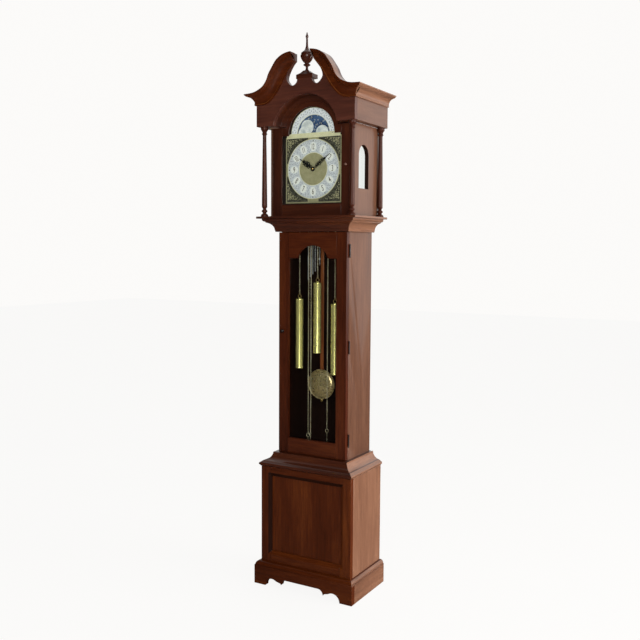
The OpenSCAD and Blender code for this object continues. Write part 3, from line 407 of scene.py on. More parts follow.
# The arch's silvering is painted brighter than the ring's: painted light against its shade.
arch_silver_painted_light = paint("arch_silver_painted_light", (0.96, 0.97, 1.0), (0.78, 0.83, 0.90), 0.4, scale=420.0)
enamel_white = paint("enamel_white", (0.93, 0.94, 0.91), (0.88, 0.89, 0.86), 0.36, scale=200.0)
figure_ink = paint("figure_ink", (0.10, 0.075, 0.035), (0.05, 0.04, 0.02), 0.4)
dial_ink = paint("dial_ink", (0.035, 0.04, 0.06), (0.02, 0.022, 0.035), 0.45)
pale_ink = paint("pale_ink", (0.16, 0.18, 0.24), (0.10, 0.12, 0.17), 0.45)
scroll_ink = paint("scroll_ink", (0.17, 0.20, 0.29), (0.10, 0.12, 0.20), 0.45)
corner_dark = paint("corner_dark", (0.115, 0.11, 0.08), (0.005, 0.005, 0.004), 0.5, scale=210.0)
map_print = paint("map_print", (0.92, 0.94, 0.93), (0.50, 0.57, 0.60), 0.42, scale=62.0)
moon_paint = paint("moon_paint", (0.95, 0.97, 0.94), (0.58, 0.64, 0.66), 0.42, scale=48.0)
night_sky = paint("night_sky", (0.085, 0.16, 0.32), (0.03, 0.06, 0.15), 0.4, scale=26.0)
star_gold = paint("star_gold", (0.95, 0.94, 0.86), (0.9, 0.88, 0.78), 0.4)
print("materials", len(bpy.data.materials))

# %% [markdown]
# ### Floor and glass
# The floor glows to the camera, so that it meets the white room almost without a line. In the
# lacquer it is as dark as a rug, because a white floor would lay a haze over the low fronts.


# %% Floor
def over_rays(tree, rays, share, under, over):
    """Lays a share of one shader over another, for one kind of ray only."""
    part = add(tree, "ShaderNodeMath", operation="MULTIPLY")
    part.inputs[1].default_value = share
    mixed = add(tree, "ShaderNodeMixShader")
    tree.links.new(rays, part.inputs[0])
    tree.links.new(part.outputs["Value"], mixed.inputs[0])
    tree.links.new(under, mixed.inputs[1])
    tree.links.new(over, mixed.inputs[2])
    return mixed.outputs["Shader"]


GLOW_SHARE, RUG_SHARE = 0.94, 0.93
floor_paint = paint("floor_paint", (0.92, 0.915, 0.905), (0.89, 0.885, 0.875), 0.75, scale=1.5)
floor_tree = floor_paint.node_tree
seen = add(floor_tree, "ShaderNodeLightPath")
glow = add(floor_tree, "ShaderNodeEmission", input_Color=(0.97, 0.965, 0.955, 1))
rug = add(floor_tree, "ShaderNodeBsdfDiffuse", input_Color=(0.04, 0.014, 0.006, 1))
plain_floor = floor_tree.nodes["Principled BSDF"].outputs["BSDF"]
bright_floor = over_rays(floor_tree, seen.outputs["Is Camera Ray"], GLOW_SHARE, plain_floor,
                         glow.outputs["Emission"])
whole_floor = over_rays(floor_tree, seen.outputs["Is Glossy Ray"], RUG_SHARE, bright_floor,
                        rug.outputs["BSDF"])
floor_tree.links.new(whole_floor, floor_tree.nodes["Material Output"].inputs["Surface"])
floor_mesh.materials.append(floor_paint)


# %% Glass
MIRROR_SHARE = 0.4


def clear_glass():
    """Window glass lets light straight through and mirrors more the flatter it is seen.

    Only faces seen from the front mirror, so each pane has one reflection and not two."""
    material, tree, shader = new_material("clear_glass")
    tree.nodes.remove(shader)
    through = add(tree, "ShaderNodeBsdfTransparent")
    through.inputs["Color"].default_value = (0.93, 0.95, 0.94, 1)
    mirror = add(tree, "ShaderNodeBsdfGlossy", input_Roughness=0.015)
    edge = add(tree, "ShaderNodeFresnel", input_IOR=1.5)
    side = add(tree, "ShaderNodeNewGeometry")
    front_only = add(tree, "ShaderNodeMath", operation="MULTIPLY_ADD")
    front_only.inputs[1].default_value = -MIRROR_SHARE
    front_only.inputs[2].default_value = MIRROR_SHARE
    share = add(tree, "ShaderNodeMath", operation="MULTIPLY")
    mixed = add(tree, "ShaderNodeMixShader")
    tree.links.new(side.outputs["Backfacing"], front_only.inputs[0])
    tree.links.new(edge.outputs["Fac"], share.inputs[0])
    tree.links.new(front_only.outputs["Value"], share.inputs[1])
    tree.links.new(share.outputs["Value"], mixed.inputs[0])
    tree.links.new(through.outputs["BSDF"], mixed.inputs[1])
    tree.links.new(mirror.outputs["BSDF"], mixed.inputs[2])
    tree.links.new(mixed.outputs["Shader"], tree.nodes["Material Output"].inputs["Surface"])
    return material


glass = clear_glass()

# %% [markdown]
# ## Shaping tools
# Most pieces come from four moves: a turned shape spins a half outline about its axis, a print
# is a set of flat discs given a hair of thickness, a wire is a curve with a round section turned
# to mesh, and a board is a copy of its CAD solid with merged corners and softened arrises.


# %% Turned shapes
def turned(outline, centre, axis="Z", steps=48, closed=False):
    """Spins (radius, height) pairs about an axis through centre; closed joins the ends."""
    shape = bmesh.new()
    corners = [shape.verts.new((r, 0, h) if axis == "Z" else (r, h, 0)) for r, h in outline]
    for a, b in zip(corners, corners[1:] + (corners[:1] if closed else [])):
        shape.edges.new((a, b))
    bmesh.ops.spin(shape, geom=shape.verts[:] + shape.edges[:], cent=(0, 0, 0),
                   axis=(0, 0, 1) if axis == "Z" else (0, 1, 0), angle=math.tau, steps=steps,
                   use_merge=True)
    bmesh.ops.remove_doubles(shape, verts=shape.verts, dist=1e-6)
    bmesh.ops.scale(shape, vec=(MM, MM, MM), verts=shape.verts)
    bmesh.ops.translate(shape, vec=centre, verts=shape.verts)
    return shape


# %% Flat prints
UPRIGHT = Matrix.Rotation(math.pi / 2, 4, "X")


def disc(shape, x, z, wide, high, turn=0.0, segments=16):
    """A flat ellipse facing the front, in millimetres, turned clockwise by an angle in radians."""
    bmesh.ops.create_circle(shape, cap_ends=True, segments=segments, radius=1, matrix=(
        Matrix.Translation((x, 0, z)) @ Matrix.Rotation(turn, 4, "Y") @ UPRIGHT
        @ Matrix.Diagonal((wide, high, 1, 1))))


def thicken(shape, place, depth):
    """Gives flat faces a thickness towards the front and puts them at place, in metres."""
    raised = bmesh.ops.extrude_face_region(shape, geom=shape.faces[:])
    bmesh.ops.translate(shape, vec=(0, -depth, 0),
                        verts=[v for v in raised["geom"] if isinstance(v, bmesh.types.BMVert)])
    bmesh.ops.scale(shape, vec=(MM, MM, MM), verts=shape.verts)
    bmesh.ops.translate(shape, vec=place, verts=shape.verts)
    return shape


# %% Wire
def wire(strokes, thickness, closed=False, resolution=2):
    """A mesh of round wire, in metres, along each stroke of (x, y, z) points in millimetres."""
    curve = bpy.data.curves.new("wire", "CURVE")
    curve.dimensions = "3D"
    curve.bevel_depth = thickness * MM
    curve.bevel_resolution = resolution
    curve.use_fill_caps = True
    for stroke in strokes:
        spline = curve.splines.new("POLY")
        spline.points.add(len(stroke) - 1)
        for point, place in zip(spline.points, stroke):
            point.co = (*[v * MM for v in place], 1)
        spline.use_cyclic_u = closed
    holder = bpy.data.objects.new("wire", curve)
    bpy.context.scene.collection.objects.link(holder)
    bpy.context.view_layer.update()
    mesh = bpy.data.meshes.new_from_object(
        holder.evaluated_get(bpy.context.evaluated_depsgraph_get()))
    bpy.data.objects.remove(holder)
    return mesh


def moved(mesh, *matrices):
    """One mesh with a transformed copy for each matrix."""
    shape = bmesh.new()
    for matrix in matrices:
        copy = mesh.copy()
        copy.transform(matrix)
        shape.from_mesh(copy)
        bpy.data.meshes.remove(copy)
    return shape


# %% Boards
def merged_copy(node):
    """A CAD node's mesh with its corners joined and its flat faces made whole."""
    shape = bmesh.new()
    shape.from_mesh(nodes[node].data)
    bmesh.ops.remove_doubles(shape, verts=shape.verts, dist=1e-6)
    bmesh.ops.dissolve_limit(shape, angle_limit=math.radians(0.5), verts=shape.verts,
                             edges=shape.edges)
    return shape


def keep_side(shape, point, normal):
    """Cuts a closed shape by a plane, drops what lies on the normal's side and caps the cut."""
    geometry = shape.verts[:] + shape.edges[:] + shape.faces[:]
    cut = bmesh.ops.bisect_plane(shape, geom=geometry, plane_co=point, plane_no=normal,
                                 clear_outer=True)
    rim = [e for e in cut["geom_cut"] if isinstance(e, bmesh.types.BMEdge)]
    bmesh.ops.holes_fill(shape, edges=rim)


def slab_of(node, axis, low, high):
    """The part of a CAD node between two planes across one axis."""
    shape = merged_copy(node)
    direction = Vector([1.0 if letter == axis else 0.0 for letter in "XYZ"])
    keep_side(shape, direction * high, direction)
    keep_side(shape, direction * low, -direction)
    return shape


def join(*shapes):
    """Puts several closed shapes in one."""
    whole = shapes[0]
    for shape in shapes[1:]:
        mesh = bpy.data.meshes.new("join")
        shape.to_mesh(mesh)
        shape.free()
        whole.from_mesh(mesh)
        bpy.data.meshes.remove(mesh)
    return whole


# %% [markdown]
# ## The case
# Every board is planed square and then has its sharp corners eased by a stroke of sandpaper.
# A rounding modifier on the merged copy of each CAD solid does the same, so edges catch the
# light. Some boards have faces of two tones: the mouldings take the sides' painted light where
# they run back along the sides, the side boards are dark inside, and the swan necks' tops and
# the upturned bands of their fronts are painted paler, as painted light and painted highlight.
# A second finish for chosen faces keeps each of them one piece.

# %% Faces with another finish
def refinish(piece, finishes, choose):
    """Adds finishes to a piece and gives each face the one whose number choose returns."""
    for finish in finishes:
        piece.data.materials.append(finish)
    for face in piece.data.polygons:
        face.material_index = int(choose(face))


FRONT_BOARD = 0.03


def returned(node):
    """A test for the faces of a moulding that runs back along a side."""
    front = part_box(node)[0].y + FRONT_BOARD
    return lambda face: abs(face.normal.x) > 0.3 and face.center.y > front


def inward(node):
    """A test for the faces of a side board that look into the case or into its window."""
    low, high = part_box(node)

    def looks_in(face):
        """True for a face turned towards the middle, or inside a window's opening."""
        centre, normal = face.center, face.normal
        reveal = (abs(normal.x) < 0.5 and low.y + FRONT_BOARD < centre.y < high.y - FRONT_BOARD
                  and low.z + FRONT_BOARD < centre.z < high.z - FRONT_BOARD)
        return normal.x * centre.x < -0.01 * abs(centre.x) or reveal
    return looks_in


def neck_tone(face):
    """1 for a neck's top (painted light), 2 for its upturned front (painted highlight), else 0."""
    lit = -0.97 < face.normal.y < -0.2 and face.normal.z > 0.1
    return int(face.normal.z > 0.2 and face.normal.y > -0.2) + 2 * int(lit)


# %% Boards, panels and mouldings with eased edges
# The side finishes carry painted light, and the swan necks' extra finishes painted highlights.
EASED = {"plinth_boards": (base_x_wood, 0.8), "plinth_moulding": (base_x_wood, 0.4),
         "base_panel": (base_panel_wood, 0.4), "base_sides": (upright_side_more_painted_light, 0.8),
         "base_top_moulding": (wood_x, 0.5), "backboard": (inside_wood, 0.5),
         "waist_sides": (upright_side_painted_light, 0.8), "hood_base": (wood_x, 0.5), "hood_sides": (upright_side_painted_light, 0.8),
         "hood_soffit": (hood_door_x_with_painted_shade, 0.6), "pediment_board": (pediment_wood, 0.8),
         "frieze_sides": (deep_side_painted_light, 0.6), "hood_roof": (plain_wood, 0.6),
         "swan_necks": (neck_wood, 0.0), "cornice_returns": (deep_side_more_painted_light, 0.4),
         "pedestal_cap": (wood_x, 0.6), "seat_board": (plain_wood, 0.8),
         "base_floor": (plain_wood, 0.6), "dial_mask": (mask_black, 0.3)}
RETURNED = ("plinth_boards", "plinth_moulding", "base_top_moulding", "hood_base")
for node_name, (material, radius) in EASED.items():
    board = finish_piece(merged_copy(node_name), "eased_" + node_name, material, node_name,
                         (node_name,), bevel=radius)
    # Faces that run back along a side take the brighter side finish: painted light.
    if node_name in RETURNED:
        refinish(board, (deep_side_more_painted_light,), returned(node_name))
    elif node_name in ("waist_sides", "hood_sides"):
        refinish(board, (inside_wood,), inward(node_name))
    elif node_name == "swan_necks":
        refinish(board, (deep_side_more_painted_light, neck_painted_highlight), neck_tone)
print("eased", len(EASED), "boards and mouldings")

# %% [markdown]
# ### Framed fronts
# Doors and the front of the base are framed: upright stiles run past level rails. Each frame is
# cut at those joints, so its two parts take grain in their own direction, with a hair's gap.


# %% Framed fronts
JOINT_GAP, BEYOND = 0.00015, 0.01


def framed(node, stile_wood, rail_wood, inner_half, radius):
    """Stiles outside inner_half and rails between them, as two pieces that stand for node."""
    low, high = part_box(node)
    left = slab_of(node, "X", low.x - BEYOND, -inner_half)
    right = slab_of(node, "X", inner_half, high.x + BEYOND)
    rails = slab_of(node, "X", -inner_half + JOINT_GAP, inner_half - JOINT_GAP)
    stiles = finish_piece(join(left, right), node + "_stiles", stile_wood, node, (node,),
                          bevel=radius)
    rails = finish_piece(rails, node + "_rails", rail_wood, node, (node,), bevel=radius)
    return stiles, rails


GLASS_LAP, PANEL_LAP = 0.005, 0.008
waist_glass_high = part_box("waist_door_glass")[1]
framed("waist_door", door_wood_z, door_wood_x, waist_glass_high.x - GLASS_LAP, 0.8)
hood_glass_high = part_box("hood_door_glass")[1]
framed("hood_door", hood_door_z_with_painted_shade, hood_door_x_with_painted_shade, hood_glass_high.x - GLASS_LAP, 0.7)
panel_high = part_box("base_panel")[1]
# Moulded edges facing right or down, at the panel's left and top, get painted shade.
for part in framed("base_front_frame", base_z_wood, base_x_wood, panel_high.x - PANEL_LAP, 0.7):
    refinish(part, (recess_painted_shade,), lambda face: (-0.9 < face.normal.y < -0.05
                                                 and (face.normal.x > 0.2 or face.normal.z < -0.2)))
print("framed fronts", 3)

# %% [markdown]
# ## Turned wood
# The hood's four columns, the finial and the waist door's knob come off a lathe. Half of the
# outline, spun about its axis, gives the same rings and beads that a turner cuts. The columns
# have them in the CAD model already, so they only need their sharp edges broken.

# %% Columns
finish_piece(merged_copy("columns"), "turned_columns", column_wood, "columns", ("columns",),
             bevel=0.3)
print("columns turned")

# %% Finial
FINIAL_FOOT = ((0, 0), (10, 0), (6.2, 3), (4.6, 7), (4.6, 13), (7.2, 16.6), (11.4, 18), (13.2, 20),
               (13.0, 22), (10.6, 24), (7.4, 25.2), (8.2, 27))
FINIAL_URN = ((13.2, 31), (18.0, 37), (21.8, 44), (24.0, 50), (24.4, 54), (23.4, 57.6),
              (21.0, 59.4), (21.4, 61), (22.4, 62.6), (21.4, 65), (17.0, 68.6), (12.2, 72),
              (8.6, 76), (6.4, 80.4))
FINIAL_SPIRE = ((6.8, 82), (5.4, 84), (4.4, 89), (3.8, 100), (3.5, 114), (3.7, 118), (5.2, 121),
                (5.6, 124), (4.8, 127), (3.2, 129.6), (2.6, 133), (1.4, 138), (0, 140))
FINIAL = FINIAL_FOOT + FINIAL_URN + FINIAL_SPIRE
FINIAL_R = max(r for r, h in FINIAL)
finial_low, finial_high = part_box("finial")
finial_scale = (finial_high.z - finial_low.z) / MM / FINIAL[-1][1]
finial_wide = (finial_high.x - finial_low.x) / 2 / MM / FINIAL_R
finial_place = ((finial_low.x + finial_high.x) / 2, (finial_low.y + finial_high.y) / 2,
                finial_low.z)
finish_piece(turned([(r * finial_wide, h * finial_scale) for r, h in FINIAL], finial_place),
             "turned_finial", finial_wood, "finial", ("finial",))
print("finial", round(finial_high.z - finial_low.z, 4), "m high")

# %% Waist door's knob and hinges
KNOB = ((0, 0), (5, 0), (5, 1.2), (3, 2.2), (2.4, 4.5), (3, 6.5), (5.2, 8), (6.2, 10), (5.8, 12),
        (4, 13.6), (1.6, 14.4), (0, 14.5))
KNOB_WIDE, KNOB_LONG = 12.4, 14.5
low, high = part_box("waist_door_knob")
width, length = (high.z - low.z) / MM, (high.y - low.y) / MM
knob = turned([(r * width / KNOB_WIDE, -h * length / KNOB_LONG) for r, h in KNOB],
              ((low.x + high.x) / 2, high.y, (low.z + high.z) / 2), "Y", steps=32)
finish_piece(knob, "waist_door_pull", iron, "waist_door_knob", ("waist_door_knob",))
for node_name in ("waist_hinges_case", "waist_hinges_door"):
    finish_piece(merged_copy(node_name), "brushed_" + node_name, iron, node_name, (node_name,),
                 bevel=0.15)
print("knob", round(width, 1), "mm wide")

# %% [markdown]
# ## The dial
# A break-arch dial is a brass plate that carries a silvered chapter ring with printed figures,
# cast corner ornaments and, in the arch, an opening in front of a turning disc with two painted
# moons. Each printed mark is a thin shape of its own, because ink and enamel have real edges.

# %% Plate, ring and brass edges
ring_low, ring_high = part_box("chapter_ring")
HUB = Vector((0, ring_low.y, (ring_low.z + ring_high.z) / 2))
ring_r = (ring_high.x - ring_low.x) / 2 / MM
ring_t = (ring_high.y - ring_low.y) / MM
RING_IN = 60.5
PRINT = 0.12
FIGURE_REACH = 84
finish_piece(merged_copy("dial_plate"), "brass_dial_plate", dial_brass, "dial_plate",
             ("dial_plate",), bevel=0.2)
ring_outline = ((RING_IN, ring_t), (ring_r - 0.4, ring_t), (ring_r - 0.4, 0.2), (ring_r - 1.6, 0),
                (RING_IN + 1.4, 0), (RING_IN, 0.3))
finish_piece(turned(ring_outline, HUB, "Y", steps=128, closed=True), "silvered_ring", silvering,
             "chapter_ring", ("chapter_ring",))
for name, radius in (("outer", ring_r - 0.9), ("inner", RING_IN + 0.9)):
    rim = ((radius - 0.9, 0.1), (radius - 0.6, -0.45), (radius + 0.6, -0.45), (radius + 0.9, 0.1))
    finish_piece(turned(rim, HUB, "Y", steps=128, closed=True), f"ring_edge_{name}", rim_brass,
                 "chapter_ring")
print("chapter ring", round(2 * ring_r), "mm across")

# %% Hour figures on white ovals
ovals = bmesh.new()
for hour in range(12):
    angle = math.radians(30 * hour)
    disc(ovals, FIGURE_REACH * math.sin(angle), FIGURE_REACH * math.cos(angle), 13.2, 17.0, angle,
         28)
finish_piece(thicken(ovals, HUB, PRINT), "figure_ovals", enamel_white, "chapter_ring")


def lettering(text, size, narrow, weight):
    """A flat text mesh centred on the origin and standing upright, facing the front."""
    letters = bpy.data.curves.new("letters", "FONT")
    letters.body = text
    letters.size = size
    letters.align_x = "CENTER"
    letters.align_y = "CENTER"
    letters.offset = weight
    letters.extrude = 0.08
    letters.space_character = 0.9
    letters.resolution_u = 6
    holder = bpy.data.objects.new("letters", letters)
    bpy.context.scene.collection.objects.link(holder)
    bpy.context.view_layer.update()
    mesh = bpy.data.meshes.new_from_object(
        holder.evaluated_get(bpy.context.evaluated_depsgraph_get()))
    bpy.data.objects.remove(holder)
    across = [corner.co.x for corner in mesh.vertices]
    up = [corner.co.y for corner in mesh.vertices]
    deep = sum(corner.co.z for corner in mesh.vertices) / len(mesh.vertices)
    middle = Vector(((min(across) + max(across)) / 2, (min(up) + max(up)) / 2, deep))
    mesh.transform(UPRIGHT @ Matrix.Diagonal((narrow, 1, 1, 1)) @ Matrix.Translation(-middle))
    return mesh


FIGURE_LEAN = 0.55
FIGURE_LIFT = Vector((0, -0.0003, 0))
figures = bmesh.new()
for hour in range(1, 13):
    angle = math.radians(30 * hour)
    lean = angle if hour in (10, 11, 12, 1, 2) else (0 if hour in (3, 9) else angle + math.pi)
    lean = math.remainder(lean, math.tau) * FIGURE_LEAN
    mesh = lettering(str(hour), 31, 0.56 if hour < 10 else 0.5, 0.12)
    mesh.transform(Matrix.Diagonal((MM, MM, MM, 1)) @ Matrix.Translation(
        (FIGURE_REACH * math.sin(angle), 0, FIGURE_REACH * math.cos(angle)))
        @ Matrix.Rotation(lean, 4, "Y"))
    mesh.transform(Matrix.Translation(HUB + FIGURE_LIFT))
    figures.from_mesh(mesh)
finish_piece(figures, "hour_figures", figure_ink, "chapter_ring")
print("hour figures", 12)

# %% Minute dots and printed lines
DOT_REACH = 105.6
dots = bmesh.new()
for minute in range(60):
    angle = math.radians(6 * minute)
    big = minute % 5 == 0
    disc(dots, DOT_REACH * math.sin(angle), DOT_REACH * math.cos(angle), 2.1 if big else 1.15,
         2.6 if big else 1.15, angle, 12 if big else 8)
finish_piece(thicken(dots, HUB, PRINT), "minute_dots", dial_ink, "chapter_ring")
for name, radius in (("outer", 108.6), ("middle", 102.6), ("inner", RING_IN + 3.6)):
    line = ((radius, 0.02), (radius, -PRINT), (radius + 0.45, -PRINT), (radius + 0.45, 0.02))
    finish_piece(turned(line, HUB, "Y", steps=128, closed=True), f"printed_line_{name}", pale_ink,
                 "chapter_ring")
print("minute dots", 60)


# %% Scrollwork between the figures
SCROLL_LEAVES = 7


def scroll(shape, x, z, size, start, curl):
    """A printed scroll: leaves that shrink along a spiral."""
    for step in range(SCROLL_LEAVES):
        angle = start + curl * step * 0.62
        reach = size * (1 - step / (SCROLL_LEAVES + 1.5))
        disc(shape, x + reach * math.sin(angle), z + reach * math.cos(angle),
             size * (0.34 - 0.028 * step), size * (0.17 - 0.012 * step), angle + curl * 0.5, 8)
    disc(shape, x, z, size * 0.16, size * 0.16, 0, 8)


printed = bmesh.new()
for gap in range(12):
    angle = math.radians(30 * gap + 15)
    across = Vector((math.cos(angle), -math.sin(angle)))
    along = Vector((math.sin(angle), math.cos(angle)))
    for side in (-1, 1):
        for reach, spread, size in ((95.5, 6.2, 4.6), (83, 3.3, 3.2), (73, 5.2, 3.6)):
            spot = along * reach + across * spread * side
            scroll(printed, spot.x, spot.y, size, angle + (0 if side > 0 else math.pi), side)
    for reach, length in ((89, 2.6), (78, 2.2), (68, 2.4), (99.5, 1.8)):
        spot = along * reach
        disc(printed, spot.x, spot.y, 0.9, length, angle, 8)
finish_piece(thicken(printed, HUB, PRINT * 0.8), "printed_scrolls", scroll_ink, "chapter_ring")
print("printed scrolls", 12 * 2 * 3)

# %% [markdown]
# ### Corner ornaments
# The real corners are cast scrollwork, gilded, over a darkened matted ground. The ground is the
# square left round the ring, and the scrolls are round wire with leaves, repeated eight times.

# %% Darkened ground
plate_low, plate_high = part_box("dial_plate")
DIAL_HALF = (plate_high.x - plate_low.x) / 2 / MM
SQUARE_TOP = 1.757
DIAL_TOP = (SQUARE_TOP - HUB.z) / MM
DIAL_FOOT = (plate_low.z - HUB.z) / MM
INNER, GROUND_T = 24, 0.5
outer = DIAL_HALF - 5
ground = bmesh.new()
for side in (-1, 1):
    for edge in (DIAL_TOP - 4.5, DIAL_FOOT + 5):
        near = math.copysign(INNER, edge)
        bmesh.ops.create_cube(ground, size=1, matrix=Matrix.Translation(
            (side * (outer + INNER) / 2, 0, (edge + near) / 2)) @ Matrix.Diagonal(
            (outer - INNER, GROUND_T, abs(edge - near), 1)))
bmesh.ops.scale(ground, vec=(MM, MM, MM), verts=ground.verts)
bmesh.ops.translate(ground, vec=HUB + Vector((0, (ring_t - 0.25) * MM, 0)), verts=ground.verts)
ground_piece = finish_piece(ground, "corner_ground", corner_dark, "spandrels", ("spandrels",))


def carve(piece, tool):
    """Cuts a piece with a closed shape that is then thrown away."""
    mesh = bpy.data.meshes.new("tool")
    bmesh.ops.recalc_face_normals(tool, faces=tool.faces)
    tool.to_mesh(mesh)
    tool.free()
    helper = bpy.data.objects.new("tool", mesh)
    bpy.context.scene.collection.objects.link(helper)
    cut = piece.modifiers.new("cut", "BOOLEAN")
    cut.operation = "DIFFERENCE"
    cut.solver = "EXACT"
    cut.object = helper
    bpy.context.view_layer.update()
    result = bpy.data.meshes.new_from_object(
        piece.evaluated_get(bpy.context.evaluated_depsgraph_get()))
    piece.modifiers.remove(cut)
    piece.data = result
    bpy.data.objects.remove(helper)


def ring_plug(clearance):
    """A solid round the hub, wider than the chapter ring by clearance in millimetres."""
    wide, deep = ring_r + clearance, 20
    return turned(((0, -deep), (wide, -deep), (wide, deep), (0, deep)), HUB, "Y", steps=128)


carve(ground_piece, ring_plug(2))
print("corner ground", round(outer), "mm out from the hub")

# %% Bar across the foot of the arch
BAR_WIDE, BAR_TALL, BAR_MIDDLE = 0.234, 0.0178, 1.7619
spandrel_low, spandrel_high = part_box("spandrels")
bar = bmesh.new()
bmesh.ops.create_cube(bar, size=1, matrix=Matrix.Translation(
    (0, (spandrel_low.y + spandrel_high.y) / 2, BAR_MIDDLE)) @ Matrix.Diagonal(
    (BAR_WIDE, spandrel_high.y - spandrel_low.y, BAR_TALL, 1)))
bar_piece = finish_piece(bar, "arch_bar", rim_brass, "spandrels", bevel=0.3)
carve(bar_piece, ring_plug(0.6))


# %% Gilded scrolls
def spiral(x, z, size, start, turns, curl, points=22):
    """Points of a spiral that winds in from a circle of the given size."""
    places = []
    for i in range(points + 1):
        angle = start + curl * turns * math.tau * i / points
        reach = size * (1 - 0.86 * i / points)
        places.append((x + reach * math.sin(angle), 0, z + reach * math.cos(angle)))
    return places


corner_x, corner_z = DIAL_HALF - 9, abs(DIAL_FOOT) - 9
half_motif = [spiral(corner_x - 8, corner_z - 26, 7.5, 0.4, 1.3, 1),
              spiral(corner_x - 3.5, corner_z - 43, 4.6, 2.6, 1.2, -1),
              spiral(corner_x - 1.2, corner_z - 57, 2.6, 0.6, 1.0, 1, 14),
              spiral(corner_x - 15.5, corner_z - 13.5, 5.6, 3.2, 1.2, -1)]
filigree = wire(half_motif, 0.62, resolution=1)
leaf_shapes = bmesh.new()
for x, z, long, turn in ((-5, -8, 5.2, 0.8), (-9, -17, 3.6, 0.1), (-14, -31, 3.4, 1.1),
                         (-2, -30, 3.2, 0.2), (-6.5, -49, 2.6, 0.5), (-1, -38, 2.6, 0.0),
                         (-20, -20, 3.8, 0.78), (-2.5, -17, 3.0, -0.3), (-1.6, -64, 1.9, 0.0),
                         (-11, -38, 2.2, 0.9)):
    disc(leaf_shapes, corner_x + x, corner_z + z, 1.25, long, turn, 10)
thicken(leaf_shapes, (0, 0.0004, 0), 0.9)
leaf_mesh = bpy.data.meshes.new("leaves")
leaf_shapes.to_mesh(leaf_mesh)
leaf_shapes.free()
swap = Matrix(((0, 0, 1, 0), (0, 1, 0, 0), (1, 0, 0, 0), (0, 0, 0, 1)))
ornament_back = Vector((0, (ring_t - 0.9) * MM, 0))
turns = [Matrix.Translation(HUB + ornament_back) @ Matrix.Diagonal((sx, 1, sz, 1)) @ flip
         for sx in (-1, 1) for sz in (-1, 1) for flip in (Matrix.Identity(4), swap)]
ornament = join(moved(filigree, *turns), moved(leaf_mesh, *turns))
finish_piece(ornament, "corner_scrolls", gilt, "spandrels")
print("corner motifs", len(turns))

# %% [markdown]
# ### The moon's arch
# The disc behind the arch turns once in two lunar months. Two humps hide the moon as it wanes
# and waxes. The humps carry soft map-like marks, and the moons are plain grey-blotched discs.

# %% Arch ring and humps
arch_low, arch_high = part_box("lunar_arch")
finish_piece(merged_copy("lunar_arch"), "silvered_arch", arch_silver_painted_light, "lunar_arch", ("lunar_arch",),
             bevel=0.25)
ARCH_OUT, ARCH_IN = 97.0, 70.0
ARCH = Vector((0, arch_low.y, arch_high.z - ARCH_OUT * MM))
ARCH_MARK = 84
arch_prints = bmesh.new()
for step in range(15):
    angle = math.radians(-84 + 12 * step)
    for reach, size, curl in ((90, 4.2, 1), (78.5, 4.0, -1)):
        scroll(arch_prints, reach * math.sin(angle), reach * math.cos(angle), size,
               angle + (0 if curl > 0 else 2), curl)
    between = angle + 0.105
    disc(arch_prints, ARCH_MARK * math.sin(between), ARCH_MARK * math.cos(between), 1.0, 3.4, angle,
         8)
finish_piece(thicken(arch_prints, ARCH, PRINT), "arch_scrolls", scroll_ink, "lunar_arch")
for name, radius in (("outer", ARCH_OUT - 1.1), ("inner", ARCH_IN + 0.4)):
    line = turned(((radius, 0.1), (radius, -0.35), (radius + 0.8, -0.35), (radius + 0.8, 0.1)),
                  ARCH, "Y", steps=128, closed=True)
    keep_side(line, (0, 0, arch_low.z), (0, 0, -1))
    finish_piece(line, f"arch_edge_{name}", rim_brass, "lunar_arch")
HUMP = Vector((0, arch_low.y, arch_low.z - 0.002))
HUMP_OFF, HUMP_R = 38.5, 26.6
for side, name in ((-1, "left"), (1, "right")):
    face = bmesh.new()
    disc(face, side * HUMP_OFF, 0, HUMP_R, HUMP_R, 0, 48)
    thicken(face, HUMP, 0.25)
    keep_side(face, (0, 0, arch_low.z + 0.0002), (0, 0, -1))
    finish_piece(face, f"hump_{name}", map_print, "lunar_arch")
print("arch", round(2 * ARCH_OUT), "mm across")

# %% Sky, stars and moons
disc_low, disc_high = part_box("moon_disc")
SKY = Vector((0, disc_low.y, (disc_low.z + disc_high.z) / 2))
sky_r = (disc_high.z - disc_low.z) / 2 / MM
MOON_REACH, MOON_R = 46.6, 27.5
moon_places = [(MOON_REACH * math.cos(a), MOON_REACH * math.sin(a))
               for a in (math.radians(128.5), math.radians(308.5))]
moons = bmesh.new()
for x, z in moon_places:
    disc(moons, x, z, MOON_R, MOON_R, 0, 48)
finish_piece(thicken(moons, SKY, 0.35), "two_moons", moon_paint, "moon_disc")
random.seed(7)
STARS = 120
stars = bmesh.new()
placed = 0
while placed < STARS:
    angle, reach = random.uniform(0, math.tau), sky_r * math.sqrt(random.uniform(0.02, 0.9))
    x, z = reach * math.cos(angle), reach * math.sin(angle)
    size = random.choice((1.9, 2.4, 3.1))
    if all(math.dist((x, z), moon) > MOON_R + 2.5 for moon in moon_places):
        for turn in (0.0, math.pi / 2):
            disc(stars, x, z, size * 0.45, size, turn + angle, 8)
        disc(stars, x, z, size * 0.68, size * 0.68, 0, 8)
        placed += 1
finish_piece(thicken(stars, SKY, 0.2), "gold_stars", star_gold, "moon_disc")
print("stars", placed)

# %% [markdown]
# ### Hands
# Serpentine hands are sawn from thin steel: a slim stem that swells into pierced scrolls. Each is
# a set of flat leaves and rings laid along the stem, all one thickness, on a domed boss.


